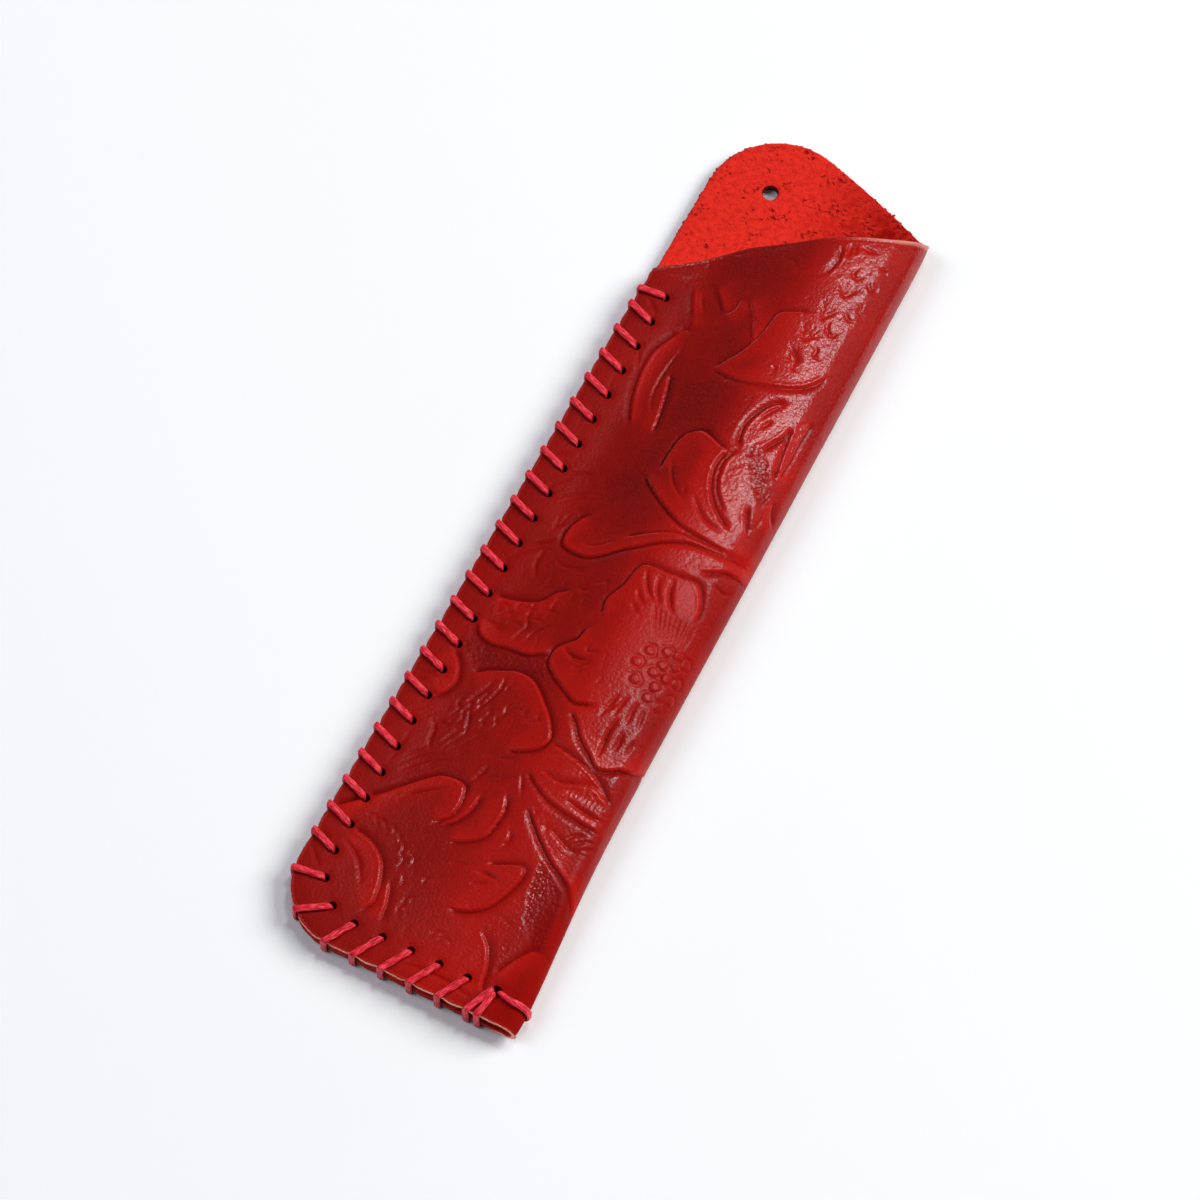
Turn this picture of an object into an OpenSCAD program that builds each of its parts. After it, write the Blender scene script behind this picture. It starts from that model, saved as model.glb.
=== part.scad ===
// Leather pen case: a single folded blank, closed by whip stitching along the bottom and one side.
// Every size is first laid out from the bottom corner of the stitched side: x runs towards the fold,
// y towards the mouth and z up from the surface that the case lies on.

/* [Leather] */
// Thickness of the leather
leather_t = 1.4; // [1:0.1:1.8]
// Gap left between the two layers along the seam
layer_gap = 0.1; // [0.05:0.05:0.3]

/* [Pocket] */
// Width at the bottom edge, from the seam edge to the outside of the fold
bottom_w = 44; // [41:0.2:52]
// Width at the mouth, from the seam edge to the outside of the fold
mouth_w = 38.7; // [36:0.2:46]
// Height of the fold at the bottom edge, where it is pressed nearly flat
bottom_h = 4.2; // [3.9:0.1:6]
// Height of the fold at the mouth
mouth_h = 9.4; // [8:0.2:13]
// Length of the stitched side, from the bottom edge to the mouth cut
seam_len = 128.4; // [100:1:160]
// Length of the fold, from the bottom edge to the mouth cut
fold_len = 151.8; // [150:0.2:190]
// Width of the flat margin where the two layers lie together
margin_w = 7; // [6:0.5:9]
// Radius of the hollow curve in which the front rises from the margin
rise_r = 15; // [8:1:25]
// Radius of the rounded bottom corner
corner_r = 11; // [8:0.5:13]

/* [Tab] */
// Radius of the round end of the tab
tab_r = 12.6; // [9:0.1:15]
// Slope of the mouth cut where it runs into the round end
tab_slope = 0.27; // [0.05:0.01:0.3]
// Distance that the tab's edge is set in from the seam edge
tab_inset = 0.1; // [0.1:0.1:1.5]
// Radius of the hanging hole
hang_r = 1.25; // [0.8:0.05:3]
// Distance from the hanging hole to the tab's edge on the seam side
hang_side = 10; // [6:0.1:14]
// Distance from the hanging hole to the top of the tab
hang_top = 10.4; // [6:0.1:14]

/* [Stitching] */
// Target distance from one stitch hole to the next
stitch_pitch = 5; // [4:0.1:7]
// Distance from the side holes to the seam edge
side_in = 4.45; // [3.5:0.05:5]
// Distance from the bottom holes to the bottom edge
bottom_in = 4.75; // [4:0.05:6]
// Distance from the top stitch hole to the mouth cut at the seam edge
top_in = 4; // [3:0.1:8]
// Distance from the last bottom hole to the outside of the fold at the bottom edge
fold_in = 6; // [5:0.1:10]
// Width of the flat thread
thread_w = 1.15; // [0.8:0.05:1.4]
// Thickness of the flat thread
thread_t = 0.55; // [0.4:0.05:0.7]
// Distance that a side stitch leans towards the mouth
side_lean = 1.6; // [0:0.1:2.5]
// Distance that a bottom stitch leans towards the corner
bottom_lean = 2.7; // [0:0.1:3]

/* [Hidden] */

// Clearances and the overrun of a cut
thread_clear = 0.05;
overrun = 1;

// Shares that shape the pocket between the bottom edge and the mouth
pinch_share = 0.22;
pinch_reach_share = 0.13;
flat_share = 0.85;
flat_reach_share = 0.27;

// Heights of the layers over the surface
lift = thread_t + thread_clear;
back_mid = lift + leather_t / 2;
front_mid = back_mid + leather_t + layer_gap;
front_top = front_mid + leather_t / 2;

// The rule of the pocket's cross-section: the fold is one arc, the front rises from the flat margin
// in a hollow arc, and a straight run is tangent to both
function along_share(y) = max(0, min(1, y / fold_len));
function width_at(y) =
    let (u = along_share(y))
    mouth_w + (bottom_w - mouth_w)
        * ((1 - pinch_share) * (1 - u) + pinch_share * exp(-pow(u / pinch_reach_share, 2)));
function height_at(y) =
    let (u = along_share(y))
    mouth_h - (mouth_h - bottom_h)
        * ((1 - flat_share) * (1 - u) + flat_share * exp(-pow(u / flat_reach_share, 2)));
function section_at(y) =
    let (
        r = (height_at(y) - leather_t) / 2,
        centre_x = width_at(y) - r - leather_t / 2,
        span = centre_x - margin_w,
        drop = r - (front_mid - back_mid) - rise_r,
        reach = rise_r + r,
        run = sqrt(span * span + drop * drop - reach * reach),
        slope = atan2(drop, span) + atan2(reach, run)
    )
    [r, centre_x, slope, run];

// Middle of the leather on one column of the blank: kind 0 is the flat margin, 1 the hollow arc,
// 2 the straight run and 3 the fold. The result is x, z and the slope of the leather there
function mid_at(column, y) =
    let (
        s = section_at(y),
        kind = column[0],
        share = column[1],
        rise_x = margin_w + rise_r * sin(s[2]),
        rise_z = front_mid + rise_r * (1 - cos(s[2])),
        turn = s[2] - share * (180 + s[2])
    )
    kind == 0 ? [share * margin_w, front_mid, 0] :
    kind == 1 ? [margin_w + rise_r * sin(share * s[2]),
                 front_mid + rise_r * (1 - cos(share * s[2])), share * s[2]] :
    kind == 2 ? [rise_x + share * s[3] * cos(s[2]), rise_z + share * s[3] * sin(s[2]), s[2]] :
    [s[1] - s[0] * sin(turn), back_mid + s[0] + s[0] * cos(turn), turn];

// Length over the leather from the seam edge to a column, taken at the mouth
mouth = section_at(fold_len);
radian = PI / 180;
rise_len = rise_r * mouth[2] * radian;
fold_arc_len = mouth[0] * (180 + mouth[2]) * radian;
function column_len(column) =
    let (kind = column[0], share = column[1])
    kind == 0 ? share * margin_w :
    kind == 1 ? margin_w + share * rise_len :
    kind == 2 ? margin_w + rise_len + share * mouth[3] :
    margin_w + rise_len + mouth[3] + share * fold_arc_len;
fold_end_len = column_len([3, 1]);
fold_side_len = column_len([3, (mouth[2] + 90) / (mouth[2] + 180)]);

// The mouth cut is one curve over the flat blank. It starts at the seam edge, crosses the fold and
// runs into the round end of the tab
tab_angle = atan(tab_slope);
tab_join_x = tab_inset + tab_r + tab_r * sin(tab_angle);
tab_join_len = fold_end_len + mouth[1] - tab_join_x;
cut_bend = (fold_len - seam_len - tab_slope * fold_side_len)
    / (2 * tab_join_len * fold_side_len - pow(fold_side_len, 2));
cut_slope = tab_slope + 2 * cut_bend * tab_join_len;
function cut_y(len) = seam_len + cut_slope * len - cut_bend * len * len;
tab_centre = [tab_inset + tab_r, cut_y(tab_join_len) - tab_r * cos(tab_angle)];
case_len = tab_centre[1] + tab_r;

// Bottom edge of the blank at a distance from the seam edge
function bottom_y(x) = x < corner_r ? corner_r - sqrt(pow(corner_r, 2) - pow(corner_r - x, 2)) : 0;

// Columns and rows of the leather's mesh
corner_step = 15;
row_count = 20;
rise_count = 3;
run_count = 4;
turn_count = 12;
function margin_share(a) = corner_r * (1 - cos(a)) / margin_w;
columns = concat(
    [for (a = [0 : corner_step : 60]) if (margin_share(a) < 1) [0, margin_share(a)]],
    [for (i = [0 : rise_count - 1]) [1, i / rise_count]],
    [for (i = [0 : run_count - 1]) [2, i / run_count]],
    [for (i = [0 : turn_count]) [3, i / turn_count]]
);
last_column = len(columns) - 1;

function leather_point(k, i, side) =
    let (
        column = columns[k],
        low = bottom_y(mid_at(column, 0)[0]),
        high = cut_y(column_len(column)),
        y = low + (high - low) * i / row_count,
        m = mid_at(column, y),
        off = side * leather_t / 2
    )
    [m[0] - off * sin(m[2]), y, m[1] + off * cos(m[2])];

// Outline of the flat back and tab, from the bottom of the fold round to the top of the fold
tab_step = 12;
cut_count = 6;
function cut_point(share) =
    let (len = fold_end_len + share * (tab_join_len - fold_end_len))
    [mouth[1] - (len - fold_end_len), cut_y(len)];
back_outline = concat(
    [for (a = [270 : -corner_step : 180]) [corner_r + corner_r * cos(a), corner_r + corner_r * sin(a)]],
    [[0, seam_len], [tab_inset, seam_len + tab_inset]],
    [for (a = [180 : -tab_step : 96 - tab_angle]) tab_centre + tab_r * [cos(a), sin(a)]],
    [for (i = [cut_count : -1 : 1]) cut_point(i / cut_count)]
);

// The folded blank as one closed mesh: the shell of the front and fold, and the flat back
module folded_blank() {
    rows = row_count + 1;
    shell = (last_column + 1) * rows;
    edge = len(back_outline);
    points = concat(
        [for (side = [1, -1], k = [0 : last_column], i = [0 : row_count]) leather_point(k, i, side)],
        [for (z = [lift, lift + leather_t], p = back_outline) [p[0], p[1], z]]
    );
    function outer(k, i) = k * rows + i;
    function inner(k, i) = shell + k * rows + i;
    function low(j) = 2 * shell + j;
    function high(j) = 2 * shell + edge + j;
    function quad(a, b, c, d) = [[a, b, c], [a, c, d]];
    faces = concat(
        [for (k = [0 : last_column - 1], i = [0 : row_count - 1], t = concat(
            quad(outer(k, i), outer(k, i + 1), outer(k + 1, i + 1), outer(k + 1, i)),
            quad(inner(k, i), inner(k + 1, i), inner(k + 1, i + 1), inner(k, i + 1)))) t],
        [for (k = [0 : last_column - 1], t = concat(
            quad(outer(k, 0), outer(k + 1, 0), inner(k + 1, 0), inner(k, 0)),
            quad(outer(k, row_count), inner(k, row_count),
                 inner(k + 1, row_count), outer(k + 1, row_count)))) t],
        [for (i = [0 : row_count - 1], t =
            quad(outer(0, i), inner(0, i), inner(0, i + 1), outer(0, i + 1))) t],
        [for (j = [0 : edge - 2], t = quad(low(j), low(j + 1), high(j + 1), high(j))) t],
        quad(outer(last_column, 0), low(0), high(0), inner(last_column, 0)),
        quad(low(edge - 1), outer(last_column, row_count), inner(last_column, row_count), high(edge - 1)),
        [concat([for (i = [0 : row_count]) outer(last_column, i)], [for (j = [edge - 1 : -1 : 0]) low(j)])],
        [concat([for (j = [0 : edge - 1]) high(j)], [for (i = [row_count : -1 : 0]) inner(last_column, i)])]
    );
    polyhedron(points, faces);
}

// Centre and radius of the turn that the row of stitch holes makes at the corner, and the distances
// from that centre to the next holes of the bottom and side rows
corner_turn = 5.5;
corner_hole_r = 4.6;
corner_spread = 31;
corner_middle = 222;
bottom_past = 3.1;
side_past = 3.85;
hole_turn_centre = [side_in + corner_turn, bottom_in + corner_turn];

// Stitch holes, in the order in which the thread passes through them
pass_clear = 0.225;
hole_r = thread_w / 2 + pass_clear;
lock_hole_r = hole_r + pass_clear;
function holes_between(a, b) =
    let (n = max(1, round(norm(b - a) / stitch_pitch)))
    [for (i = [0 : n]) a + (b - a) * i / n];
bottom_holes = holes_between([bottom_w - fold_in, bottom_in],
                             [hole_turn_centre[0] + bottom_past, bottom_in]);
corner_holes = [for (turn = [corner_spread, -corner_spread])
    hole_turn_centre + corner_hole_r * [cos(corner_middle + turn), sin(corner_middle + turn)]];
side_holes = holes_between([side_in, hole_turn_centre[1] + side_past], [side_in, seam_len - top_in]);
lock_hole = bottom_holes[0];

// Edge of the blank by the distance run along it, counted from where the corner starts
corner_len = corner_r * 90 * radian;
function edge_turn(run) = 270 - max(0, min(90, run / corner_r / radian));
function edge_out(run) = [cos(edge_turn(run)), sin(edge_turn(run))];
function edge_point(run, out) =
    [corner_r, corner_r] + (corner_r + out) * edge_out(run)
    + [max(0, -run), max(0, run - corner_len)];

// Height of the front's outer face
function front_z(x, y) =
    let (
        s = section_at(y),
        r = rise_r - leather_t / 2,
        end_x = margin_w + r * sin(s[2]),
        over = max(0, x - margin_w)
    )
    x < end_x ? front_mid + rise_r - sqrt(r * r - over * over)
              : front_mid + rise_r - r * cos(s[2]) + (x - end_x) * tan(s[2]);

// The thread runs flat over the leather and narrows where it goes through a hole
pass_w = 0.9;
lock_pass_w = 0.5;
bend_r = 0.3;
half_t = thread_t / 2;
off_leather = half_t + thread_clear;
under_z = lift - off_leather;
pass_in = hole_r - off_leather - thread_clear;
lock_pass_in = lock_hole_r - off_leather - 2 * thread_clear;

function unit(v) = v / norm(v);
function turned(a) = [cos(a), sin(a)];
function raised(p, z) = [p[0], p[1], z];
up_way = [0, 0, 1];
down_way = [0, 0, -1];

// One ring of six points round the thread, with the flat side facing out
function ring(at, way, out, w, t) =
    let (across = unit(cross(way, out)), up = unit(cross(across, way)))
    [for (c = [[0.5, 0], [0.25, 0.5], [-0.25, 0.5], [-0.5, 0], [-0.25, -0.5], [0.25, -0.5]])
        at + across * w * c[0] + up * t * c[1]];

// Three rings that bend the thread round a corner of the leather. Each end has its way along the
// thread, the way its flat side faces, its width and its thickness
function bend(at, from, to) = [
    ring(at - from[0] * bend_r, from[0], from[1], from[2], from[3]),
    ring(at + (to[0] - from[0]) * bend_r * (1 - sqrt(0.5)), unit(from[0] + to[0]), unit(from[1] + to[1]),
         (from[2] + to[2]) / 2, (from[3] + to[3]) / 2),
    ring(at + to[0] * bend_r, to[0], to[1], to[2], to[3])
];

// One whip stitch: out of a hole, over the front, round the edge and back under to the next hole.
// A pass is the place in a hole where the thread goes through, its end there and where it faces
function pass(hole, out, in, w) =
    [hole + out * in, [up_way, raised(-out, 0), w, min(w, thread_t)]];
function whip(pass_a, run, pass_b) =
    let (
        a = pass_a[0],
        b = pass_b[0],
        edge = edge_point(run, off_leather),
        rest = edge_point(run, 0),
        edge_end = [down_way, raised(edge_out(run), 0), thread_w, thread_t],
        top_a = raised(a, front_z(a[0], a[1]) + off_leather),
        top_e = raised(edge, front_z(rest[0], rest[1]) + off_leather),
        under_e = raised(edge, under_z),
        under_b = raised(b, under_z),
        over = unit(top_e - top_a),
        back = unit(under_b - under_e)
    )
    concat(
        bend(top_a, pass_a[1], [over, up_way, thread_w, thread_t]),
        bend(top_e, [over, up_way, thread_w, thread_t], edge_end),
        bend(under_e, edge_end, [back, down_way, thread_w, thread_t]),
        bend(under_b, [back, down_way, thread_w, thread_t], pass_b[1])
    );

// A closed mesh along a list of rings. A loop joins its last ring to its first
module swept(rings, loop = false) {
    n = len(rings);
    m = len(rings[0]);
    joins = loop ? n : n - 1;
    function at(i, j) = (i % n) * m + j % m;
    faces = concat(
        [for (i = [0 : joins - 1], j = [0 : m - 1], t = [
            [at(i, j), at(i + 1, j), at(i + 1, j + 1)],
            [at(i, j), at(i + 1, j + 1), at(i, j + 1)]]) t],
        loop ? [] : [[for (j = [0 : m - 1]) j], [for (j = [m - 1 : -1 : 0]) at(n - 1, j)]]
    );
    polyhedron([for (r = rings, p = r) p], faces);
}

// The melted bead that ends the thread under a hole: the thread widens and then closes
bead_w = 1.5;
bead_len = 1.2;
tail_len = 2.4;

// Passes of the thread through the bottom and corner holes. The last bottom hole is passed twice
lock_a = -20;
lock_b = -95;
lock_c = -165;
start_pass = pass(lock_hole, turned(lock_b), lock_pass_in, lock_pass_w);
again_pass = pass(lock_hole, turned(lock_c), lock_pass_in, lock_pass_w);
down = [0, -1];
left = [-1, 0];
bottom_passes = [for (i = [1 : len(bottom_holes) - 1]) pass(bottom_holes[i], down, pass_in, pass_w)];
corner_passes = [for (h = corner_holes) pass(h, unit(h - hole_turn_centre), pass_in, pass_w)];
side_passes = [for (h = side_holes) pass(h, left, pass_in, pass_w)];

// Distances along the edge at which the stitches go round it
start_lean = 0.8;
start_run = corner_r - lock_hole[0] + start_lean;
bottom_runs = [for (h = bottom_holes) corner_r - h[0] + bottom_lean];
side_runs = [for (h = side_holes) corner_len + h[1] - corner_r + side_lean];
corner_from = bottom_runs[len(bottom_runs) - 1];
corner_runs = [for (i = [1, 2]) corner_from + (side_runs[0] - corner_from) * i / 3];

// The stretch from the last bottom hole to the first side hole
bottom_stops = concat([start_pass, again_pass], bottom_passes, corner_passes, [side_passes[0]]);
stop_runs = concat([start_run], bottom_runs, corner_runs);
tail_way = unit([-1, 2]);
tail_from = raised(start_pass[0] - tail_way * tail_len, under_z);
tail_to = raised(start_pass[0], under_z);
tail_dir = unit(tail_to - tail_from);

module bottom_seam_stretch() {
    bead = [for (b = [[0, 0.4], [0.25, 1], [0.75, 1], [1, 0.7]])
        ring(tail_from - tail_dir * bead_len * (1 - b[0]), tail_dir, down_way, bead_w * b[1], thread_t)];
    start = bend(tail_to, [tail_dir, down_way, thread_w / 2, thread_t], start_pass[1]);
    stitches = [for (i = [0 : len(stop_runs) - 1], r = whip(bottom_stops[i], stop_runs[i], bottom_stops[i + 1])) r];
    swept(concat(bead, start, stitches, [joint_ring()]));
}

// The two stretches of thread meet half way up the first side hole
function joint_ring() =
    ring(raised(side_passes[0][0], (lift + front_top) / 2), up_way, [1, 0, 0], pass_w, thread_t);

end_lean = -0.4;
module side_seam_stretch() {
    n = len(side_holes);
    stitches = [for (i = [0 : n - 2], r = whip(side_passes[i], side_runs[i], side_passes[i + 1])) r];
    last = whip(side_passes[n - 1], side_runs[n - 1] - side_lean + end_lean,
                pass(side_holes[n - 1] + [0, end_lean], left, 0, pass_w));
    kept = [for (i = [0 : len(last) - 4]) last[i]];
    end_at = raised(side_holes[n - 1] + left * pass_in, under_z);
    bead = [for (b = [[0, 0.8], [0.25, 1], [0.75, 1], [1, 0.4]])
        ring(end_at + [bead_len * b[0], 0, 0], [1, 0, 0], down_way, bead_w * b[1], thread_t)];
    swept(concat([joint_ring()], stitches, kept, bead));
}

// The loop that locks the fold: through the last bottom hole, over the fold and back under it
lock_drop = 0.65;
lock_y = lock_hole[1] - lock_drop;
lock_steps = 10;
near_hole_w = (thread_w + lock_pass_w) / 2;
module lock_loop() {
    s = section_at(lock_y);
    r = s[0] + leather_t / 2 + off_leather;
    a = lock_hole + turned(lock_a) * lock_pass_in;
    over_a = raised(a, front_z(a[0], a[1]) + off_leather);
    turn_at = [s[1], lock_y, back_mid + s[0]];
    first = 90 + s[2];
    top = turn_at + r * [cos(first), 0, sin(first)];
    under_a = raised(a, under_z);
    way = unit(top - over_a);
    low = turn_at - [0, 0, r];
    home = unit(under_a - low);
    in_hole = [up_way, [-1, 0, 0], lock_pass_w, lock_pass_w];
    swept(concat(
        bend(over_a, in_hole, [way, up_way, near_hole_w, thread_t]),
        [for (i = [0 : lock_steps]) let (turn = first - (first + 90) * i / lock_steps)
            ring(turn_at + r * [cos(turn), 0, sin(turn)], [sin(turn), 0, -cos(turn)],
                 [cos(turn), 0, sin(turn)], thread_w, thread_t)],
        bend(under_a, [home, down_way, near_hole_w, thread_t], in_hole)
    ), loop = true);
}

// The whole case stands centred over the origin
lock_reach = section_at(lock_y)[1] + section_at(lock_y)[0] + leather_t / 2 + off_leather + half_t;
right_x = max(bottom_w, lock_reach);
thread_out = off_leather + half_t;
seam_corner = [(thread_out - right_x) / 2, (thread_out - case_len) / 2, 0];
module placed() translate(seam_corner) children();

fine = 48;
module through_hole(at, r)
    translate([at[0], at[1], lift - overrun])
        cylinder(h = front_top - lift + mouth_h, r = r, $fn = fine);

module leather_body() placed() color([0.62, 0.05, 0.05]) difference() {
    folded_blank();
    through_hole(lock_hole, lock_hole_r);
    for (i = [1 : len(bottom_holes) - 1]) through_hole(bottom_holes[i], hole_r);
    for (h = concat(corner_holes, side_holes)) through_hole(h, hole_r);
    through_hole([tab_inset + hang_side, case_len - hang_top], hang_r);
}

module fold_lock_thread() placed() color([0.86, 0.1, 0.18]) lock_loop();
module bottom_seam_thread() placed() color([0.86, 0.1, 0.18]) bottom_seam_stretch();
module side_seam_thread() placed() color([0.86, 0.1, 0.18]) side_seam_stretch();

leather_body();
fold_lock_thread();
bottom_seam_thread();
side_seam_thread();
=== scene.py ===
"""Tooled leather pen case: one folded blank, whip-stitched with waxed thread, on a plain pale table."""

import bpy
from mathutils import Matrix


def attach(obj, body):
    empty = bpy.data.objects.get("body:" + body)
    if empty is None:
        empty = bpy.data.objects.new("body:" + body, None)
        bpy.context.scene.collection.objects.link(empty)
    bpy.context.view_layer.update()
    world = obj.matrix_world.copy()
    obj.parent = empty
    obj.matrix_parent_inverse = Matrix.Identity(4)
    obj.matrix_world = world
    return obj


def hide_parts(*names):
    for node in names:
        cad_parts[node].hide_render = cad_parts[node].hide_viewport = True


bl_info = {
    "name": "Tooled Leather Pen Case",
    "version": (1, 0, 0),
    "blender": (4, 5, 0),
    "location": "3D View > Sidebar > Pen Case",
    "description": "Dresses the packed pen case with tooled leather, waxed thread and a plain studio",
    "category": "Add Mesh",
}

import bpy
import numpy as np
from mathutils import Matrix, Vector

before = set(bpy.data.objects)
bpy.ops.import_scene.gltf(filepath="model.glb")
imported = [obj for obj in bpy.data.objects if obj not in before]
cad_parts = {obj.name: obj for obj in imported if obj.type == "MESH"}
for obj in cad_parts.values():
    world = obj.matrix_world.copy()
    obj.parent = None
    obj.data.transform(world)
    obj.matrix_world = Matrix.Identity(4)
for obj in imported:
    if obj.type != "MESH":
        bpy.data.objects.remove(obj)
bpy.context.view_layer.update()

MM = 0.001

# ---------------------------------------------------------------------------------------------
# Sizes of the blank, in millimetres from the bottom corner of the stitched side: x runs towards
# the fold, y towards the mouth, z up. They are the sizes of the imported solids.
# ---------------------------------------------------------------------------------------------
SEAM_CORNER = np.array([-21.9195, -80.0832, 0.0])

LEATHER_T = 1.4
LAYER_GAP = 0.1
BOTTOM_W, MOUTH_W = 44.0, 38.7
BOTTOM_H, MOUTH_H = 4.2, 9.4
SEAM_LEN, FOLD_LEN = 128.4, 151.8
MARGIN_W = 7.0
RISE_R = 15.0
CORNER_R = 11.0
PINCH, PINCH_REACH = 0.22, 0.13
FLAT, FLAT_REACH = 0.85, 0.27

TAB_R = 12.6
TAB_SLOPE = 0.27
TAB_INSET = 0.1
HANG_R, HANG_SIDE, HANG_TOP = 1.25, 10.0, 10.4

THREAD_W, THREAD_T = 1.15, 0.55
THREAD_CLEAR = 0.05
STITCH_PITCH = 5.0
SIDE_IN, BOTTOM_IN, TOP_IN, FOLD_IN = 4.45, 4.75, 4.0, 6.0
HOLE_R, LOCK_HOLE_R = 0.8, 1.025
# The thread has drawn each hole a little towards the edge, and the leather has closed on it
HOLE_PULL = 0.12
SIDE_LEAN, BOTTOM_LEAN = 1.6, 2.7

LIFT = THREAD_T + THREAD_CLEAR
BACK_MID = LIFT + LEATHER_T / 2
FRONT_MID = BACK_MID + LEATHER_T + LAYER_GAP
HALF = LEATHER_T / 2


def bell(x, reach):
    """A smooth bump: 1 at 0, and fading out over the reach."""
    return np.exp(-(x / reach) ** 2)


def rise(x, start, reach):
    """0 up to the start and 1 from the reach beyond it; a negative reach falls instead."""
    return np.clip((x - start) / reach, 0, 1)


def section(y):
    """Fold radius, fold centre, slope of the front and length of its straight run at y."""
    u = np.clip(np.asarray(y, float) / FOLD_LEN, 0, 1)
    width = MOUTH_W + (BOTTOM_W - MOUTH_W) * ((1 - PINCH) * (1 - u) + PINCH * bell(u, PINCH_REACH))
    height = MOUTH_H - (MOUTH_H - BOTTOM_H) * ((1 - FLAT) * (1 - u) + FLAT * bell(u, FLAT_REACH))
    r = (height - LEATHER_T) / 2
    centre = width - r - HALF
    span = centre - MARGIN_W
    drop = r - (FRONT_MID - BACK_MID) - RISE_R
    reach = RISE_R + r
    run = np.sqrt(span * span + drop * drop - reach * reach)
    slope = np.arctan2(drop, span) + np.arctan2(reach, run)
    return r, centre, slope, run


def lengths(y):
    """Distances over the leather, from the front's seam edge, at which its four forms change."""
    r, centre, slope, run = section(y)
    rise_end = MARGIN_W + RISE_R * slope
    run_end = rise_end + run
    fold_end = run_end + r * (np.pi + slope)
    return rise_end, run_end, fold_end, fold_end + centre


def smooth_table(at, values, reach):
    """Values at close, even places, rounded over the given reach."""
    fine = np.arange(at[0], at[-1], 0.1)
    width = int(reach / 0.1)
    weights = np.hanning(2 * width + 1)
    line = np.pad(np.interp(fine, at, values), width, mode="edge")
    return fine, np.convolve(line, weights / weights.sum(), mode="valid")


# Lift of the front by the leather's spring: distance from the start of the fold, and the lift there
CROWN_AT, CROWN = smooth_table(
    [-28, -24, -19, -14, -10, -8, -6, -4, -2, 0, 2, 4, 6, 8, 10, 14],
    [0, 0, 0.35, 1.25, 1.75, 1.55, 1.12, 0.58, -0.12, -0.92, -1.45, -1.3, -0.7, -0.2, 0, 0], reach=2.0)


def crown(s, y, run_end):
    """How far the leather's own spring lifts the front's middle and rounds its shoulder by the fold."""
    r = section(y)[0]
    spring = np.clip((2 * r + LEATHER_T - BOTTOM_H) / (MOUTH_H - BOTTOM_H), 0, 1)
    return spring * np.interp(s - run_end, CROWN_AT, CROWN)


def leather_at(s, y, off):
    """Points of the folded leather at a distance s over it, lifted by off from its middle."""
    s, y, off = np.broadcast_arrays(np.asarray(s, float), np.asarray(y, float), np.asarray(off, float))
    r, centre, slope, _ = section(y)
    rise_end, run_end, fold_end, _ = lengths(y)
    rise_x = MARGIN_W + RISE_R * np.sin(slope)
    rise_z = FRONT_MID + RISE_R * (1 - np.cos(slope))
    forms = [s < MARGIN_W, s < rise_end, s < run_end, s < fold_end]
    turn = np.select(forms, [0 * s, (s - MARGIN_W) / RISE_R, slope, slope - (s - run_end) / r], -np.pi)
    off = off + crown(s, y, run_end)
    x = np.select(forms, [s, MARGIN_W + RISE_R * np.sin(turn), rise_x + (s - rise_end) * np.cos(slope),
                          centre - r * np.sin(turn)], centre - (s - fold_end))
    z = np.select(forms, [FRONT_MID + 0 * s, FRONT_MID + RISE_R * (1 - np.cos(turn)),
                          rise_z + (s - rise_end) * np.sin(slope), BACK_MID + r + r * np.cos(turn)],
                  BACK_MID + 0 * s)
    return np.stack([x - off * np.sin(turn), y, z + off * np.cos(turn)], -1)


# Distances over the leather at the mouth, and the one curve of the mouth cut over the flat blank
M_R, M_CENTRE, M_SLOPE = (float(v) for v in section(FOLD_LEN)[:3])
M_RISE_END, M_RUN_END, M_FOLD_END = (float(v) for v in lengths(FOLD_LEN)[:3])
M_SIDE = M_RUN_END + M_R * (M_SLOPE + np.pi / 2)
TAB_ANGLE = np.arctan(TAB_SLOPE)
TAB_JOIN_X = TAB_INSET + TAB_R + TAB_R * np.sin(TAB_ANGLE)
TAB_JOIN = M_FOLD_END + M_CENTRE - TAB_JOIN_X
CUT_BEND = (FOLD_LEN - SEAM_LEN - TAB_SLOPE * M_SIDE) / (2 * TAB_JOIN * M_SIDE - M_SIDE ** 2)
CUT_SLOPE = TAB_SLOPE + 2 * CUT_BEND * TAB_JOIN


def cut_y(distance):
    """Height of the mouth cut at a distance over the leather."""
    return SEAM_LEN + CUT_SLOPE * distance - CUT_BEND * distance * distance


TAB_X = TAB_INSET + TAB_R
TAB_Y = cut_y(TAB_JOIN) - TAB_R * np.cos(TAB_ANGLE)
CASE_LEN = TAB_Y + TAB_R


def holes_between(a, b):
    """Evenly spaced holes from one place to another, as near to the stitch pitch as they come."""
    a, b = np.array(a), np.array(b)
    n = max(1, round(float(np.linalg.norm(b - a)) / STITCH_PITCH))
    return [a + (b - a) * i / n for i in range(n + 1)]


def turned(degrees):
    """The way that lies at an angle in the plane of the table."""
    return np.array([np.cos(np.radians(degrees)), np.sin(np.radians(degrees))])


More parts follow.
